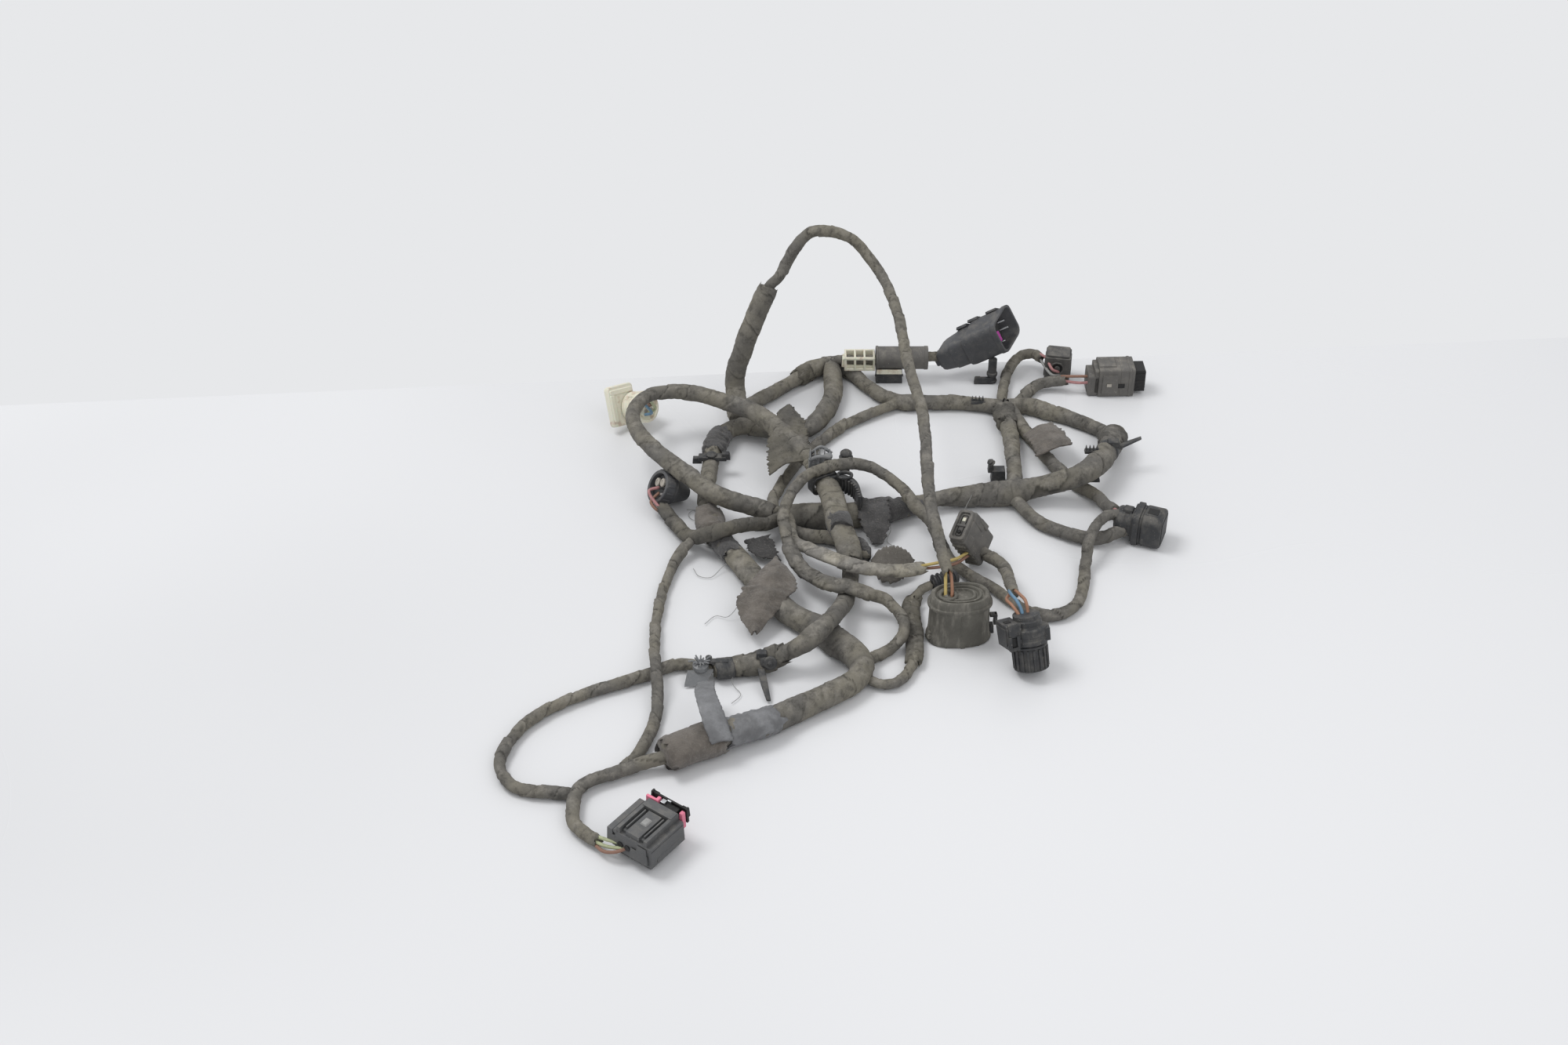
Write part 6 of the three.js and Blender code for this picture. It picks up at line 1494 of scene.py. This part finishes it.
    for step in range(5):
        base = 0.6 + step * 2.6
        profile += [(3.3, base), (4.2, base + 0.3), (4.4, base + 0.9), (3.9, base + 1.5), (3.3, base + 2.2)]
    ribbed.turned(profile + [(2.4, 13.6)], 28)
    ribbed.piece("ribbed_boot_body", "black_plastic", ["ribbed_boot"], 0.0)


class HARNESS_OT_cords(bpy.types.Operator):
    """Build the taped cords and their bare wires"""

    bl_idname = "harness.cords"
    bl_label = "Taped Cords"

    def execute(self, context):
        tubes = cord_pieces()
        if len(tubes) != len(CORDS):
            raise RuntimeError("A cord is missing")
        carried = wire_pieces()
        nodes = frame["nodes"]
        ends = {
            "front_lead": ["front_housing"],
            "outer_link": ["right_housing"],
            "yellow_lead": ["slab_housing"],
            "corner_lead": ["round_housing"],
            "back_lead_a": ["rear_right_housing"],
            "back_lead_b": ["rear_middle_housing"],
            "arch_branch": ["boot_shell"],
        }
        for name, connectors in ends.items():
            carried.setdefault(name, []).extend(nodes[connector] for connector in connectors)
        declare_cords()
        return {"FINISHED"}


class HARNESS_OT_front_connector(bpy.types.Operator):
    """Build the front connector with its latch bar and pink lock"""

    bl_idname = "harness.front_connector"
    bl_label = "Front Connector"

    def execute(self, context):
        front_connector()
        return {"FINISHED"}


class HARNESS_OT_left_connectors(bpy.types.Operator):
    """Build the cream connector and the oval connector at the left"""

    bl_idname = "harness.left_connectors"
    bl_label = "Left Connectors"

    def execute(self, context):
        cream_connector()
        oval_connector()
        return {"FINISHED"}


class HARNESS_OT_middle_connectors(bpy.types.Operator):
    """Build the oval boot, the round connector and the upright box"""

    bl_idname = "harness.middle_connectors"
    bl_label = "Middle Connectors"

    def execute(self, context):
        boot_connector()
        round_connector()
        slab_connector()
        return {"FINISHED"}


class HARNESS_OT_right_connectors(bpy.types.Operator):
    """Build the three connectors at the right"""

    bl_idname = "harness.right_connectors"
    bl_label = "Right Connectors"

    def execute(self, context):
        right_connector()
        rear_right_connector()
        rear_middle_connector()
        return {"FINISHED"}


class HARNESS_OT_rear_plug(bpy.types.Operator):
    """Build the big rear plug and the sleeve that its lead passes through"""

    bl_idname = "harness.rear_plug"
    bl_label = "Rear Plug"

    def execute(self, context):
        rear_plug()
        rear_sleeve()
        return {"FINISHED"}


class HARNESS_OT_wraps(bpy.types.Operator):
    """Build the sleeves and the loose flags of felt and tape"""

    bl_idname = "harness.wraps"
    bl_label = "Wraps and Flags"

    def execute(self, context):
        sleeves()
        wrap_flags()
        return {"FINISHED"}


class HARNESS_OT_clips(bpy.types.Operator):
    """Build the clips, ties and straps"""

    bl_idname = "harness.clips"
    bl_label = "Clips and Ties"

    def execute(self, context):
        clips()
        return {"FINISHED"}


def floor_finish():
    graph = Graph("stage_floor", **{"Specular IOR Level": 0.3})
    place = graph.place()
    cloud = graph.cloud(place, 1.6, 2)
    side = graph.node("ShaderNodeSeparateXYZ", None, {0: place}, output="X")
    # Painted shade: the floor is darker towards the left, where less light falls.
    tone = graph.blend(graph.mask(side, -0.32, 0.3), tuple(x * 0.86 for x in colours().floor), colours().floor)
    tone = graph.blend(graph.mask(cloud, 0.3, 0.7) * 0.5, tone, tuple(min(1, x * 1.05) for x in colours().floor))
    return graph.done(Base_Color=tone, Roughness=0.24 + cloud * 0.08)


def stage():
    reach = sizes().floor_reach / MM
    left, right = at_pixel(0, 517, 0), at_pixel(PHOTO_WIDTH, 430, 0)
    way = (right - left).normalized()
    corners = [left - way * reach, right + way * reach, Vector((reach, -reach, 0)), Vector((-reach, -reach, 0))]
    mesh = bpy.data.meshes.new("floor")
    mesh.from_pydata([placed(corner) for corner in corners], [], [(0, 3, 2, 1)])
    floor = bpy.data.objects.new("floor", mesh)
    floor.location.z = -0.0002
    mesh.materials.append(floor_finish())
    bpy.context.scene.collection.objects.link(floor)


def lamp(name, location, aim, power, size):
    light = bpy.data.lights.new(name, "AREA")
    light.energy = power
    light.size = size
    thing = bpy.data.objects.new(name, light)
    thing.location = location
    thing.rotation_euler = (Vector(aim) - Vector(location)).to_track_quat("-Z", "Y").to_euler()
    bpy.context.scene.collection.objects.link(thing)


def sky():
    world = bpy.data.worlds.new("stage_world")
    bpy.context.scene.world = world
    world.use_nodes = True
    tree = world.node_tree
    tree.nodes.clear()
    output = tree.nodes.new("ShaderNodeOutputWorld")
    mix = tree.nodes.new("ShaderNodeMixShader")
    seen, soft = (tree.nodes.new("ShaderNodeBackground") for _ in range(2))
    rays = tree.nodes.new("ShaderNodeLightPath")
    either = tree.nodes.new("ShaderNodeMath")
    either.operation = "MAXIMUM"
    soft.inputs["Color"].default_value = (0.99, 0.99, 1.0, 1.0)
    soft.inputs["Strength"].default_value = 0.66
    seen.inputs["Color"].default_value = (*colours().wall, 1.0)
    seen.inputs["Strength"].default_value = 1.0
    tree.links.new(rays.outputs["Is Camera Ray"], either.inputs[0])
    tree.links.new(rays.outputs["Is Glossy Ray"], either.inputs[1])
    tree.links.new(either.outputs[0], mix.inputs["Fac"])
    tree.links.new(soft.outputs[0], mix.inputs[1])
    tree.links.new(seen.outputs[0], mix.inputs[2])
    tree.links.new(mix.outputs[0], output.inputs["Surface"])


def camera():
    data = bpy.data.cameras.new("camera")
    data.sensor_fit = "HORIZONTAL"
    data.angle = CAMERA_FIELD
    thing = bpy.data.objects.new("camera", data)
    eye = Vector((0, -CAMERA_DISTANCE * math.cos(CAMERA_ELEVATION), CAMERA_DISTANCE * math.sin(CAMERA_ELEVATION)))
    thing.location = placed(eye)
    thing.rotation_euler = (math.pi / 2 - CAMERA_ELEVATION, 0, 0)
    bpy.context.scene.collection.objects.link(thing)
    bpy.context.scene.camera = thing


class HARNESS_OT_stage(bpy.types.Operator):
    """Set up the camera, the lamps, the world and the floor"""

    bl_idname = "harness.stage"
    bl_label = "Stage"

    def execute(self, context):
        camera()
        stage()
        sky()
        lamp("key", (-0.7, 0.2, 1.35), (0.0, 0.0, 0.03), 9, 0.6)
        lamp("fill", (0.7, -0.7, 1.2), (0.0, 0.0, 0.03), 4, 1.2)
        context.scene.view_settings.view_transform = "Standard"
        return {"FINISHED"}


class HARNESS_PT_panel(bpy.types.Panel):
    """Lists the harness's steps, colours and sizes"""

    bl_idname = "HARNESS_PT_panel"
    bl_label = "Wiring Harness"
    bl_space_type = "VIEW_3D"
    bl_region_type = "UI"
    bl_category = "Harness"

    def draw(self, context):
        for step in STEPS:
            self.layout.operator(step.bl_idname)
        for group in (context.scene.harness_colours, context.scene.harness_sizes):
            box = self.layout.box()
            for name in group.__annotations__:
                box.prop(group, name)


STEPS = (
    HARNESS_OT_stage,
    HARNESS_OT_cords,
    HARNESS_OT_front_connector,
    HARNESS_OT_left_connectors,
    HARNESS_OT_middle_connectors,
    HARNESS_OT_right_connectors,
    HARNESS_OT_rear_plug,
    HARNESS_OT_wraps,
    HARNESS_OT_clips,
)
CLASSES = (HarnessColours, HarnessSizes, *STEPS, HARNESS_PT_panel)


def register():
    for cls in CLASSES:
        bpy.utils.register_class(cls)
    bpy.types.Scene.harness_colours = bpy.props.PointerProperty(type=HarnessColours)
    bpy.types.Scene.harness_sizes = bpy.props.PointerProperty(type=HarnessSizes)


def unregister():
    del bpy.types.Scene.harness_sizes
    del bpy.types.Scene.harness_colours
    for cls in reversed(CLASSES):
        bpy.utils.unregister_class(cls)


def main():
    """Registers the add-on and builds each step."""
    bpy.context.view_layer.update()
    register()
    for step in STEPS:
        group, name = step.bl_idname.split(".")
        getattr(getattr(bpy.ops, group), name)()


if __name__ == "__main__":
    main()
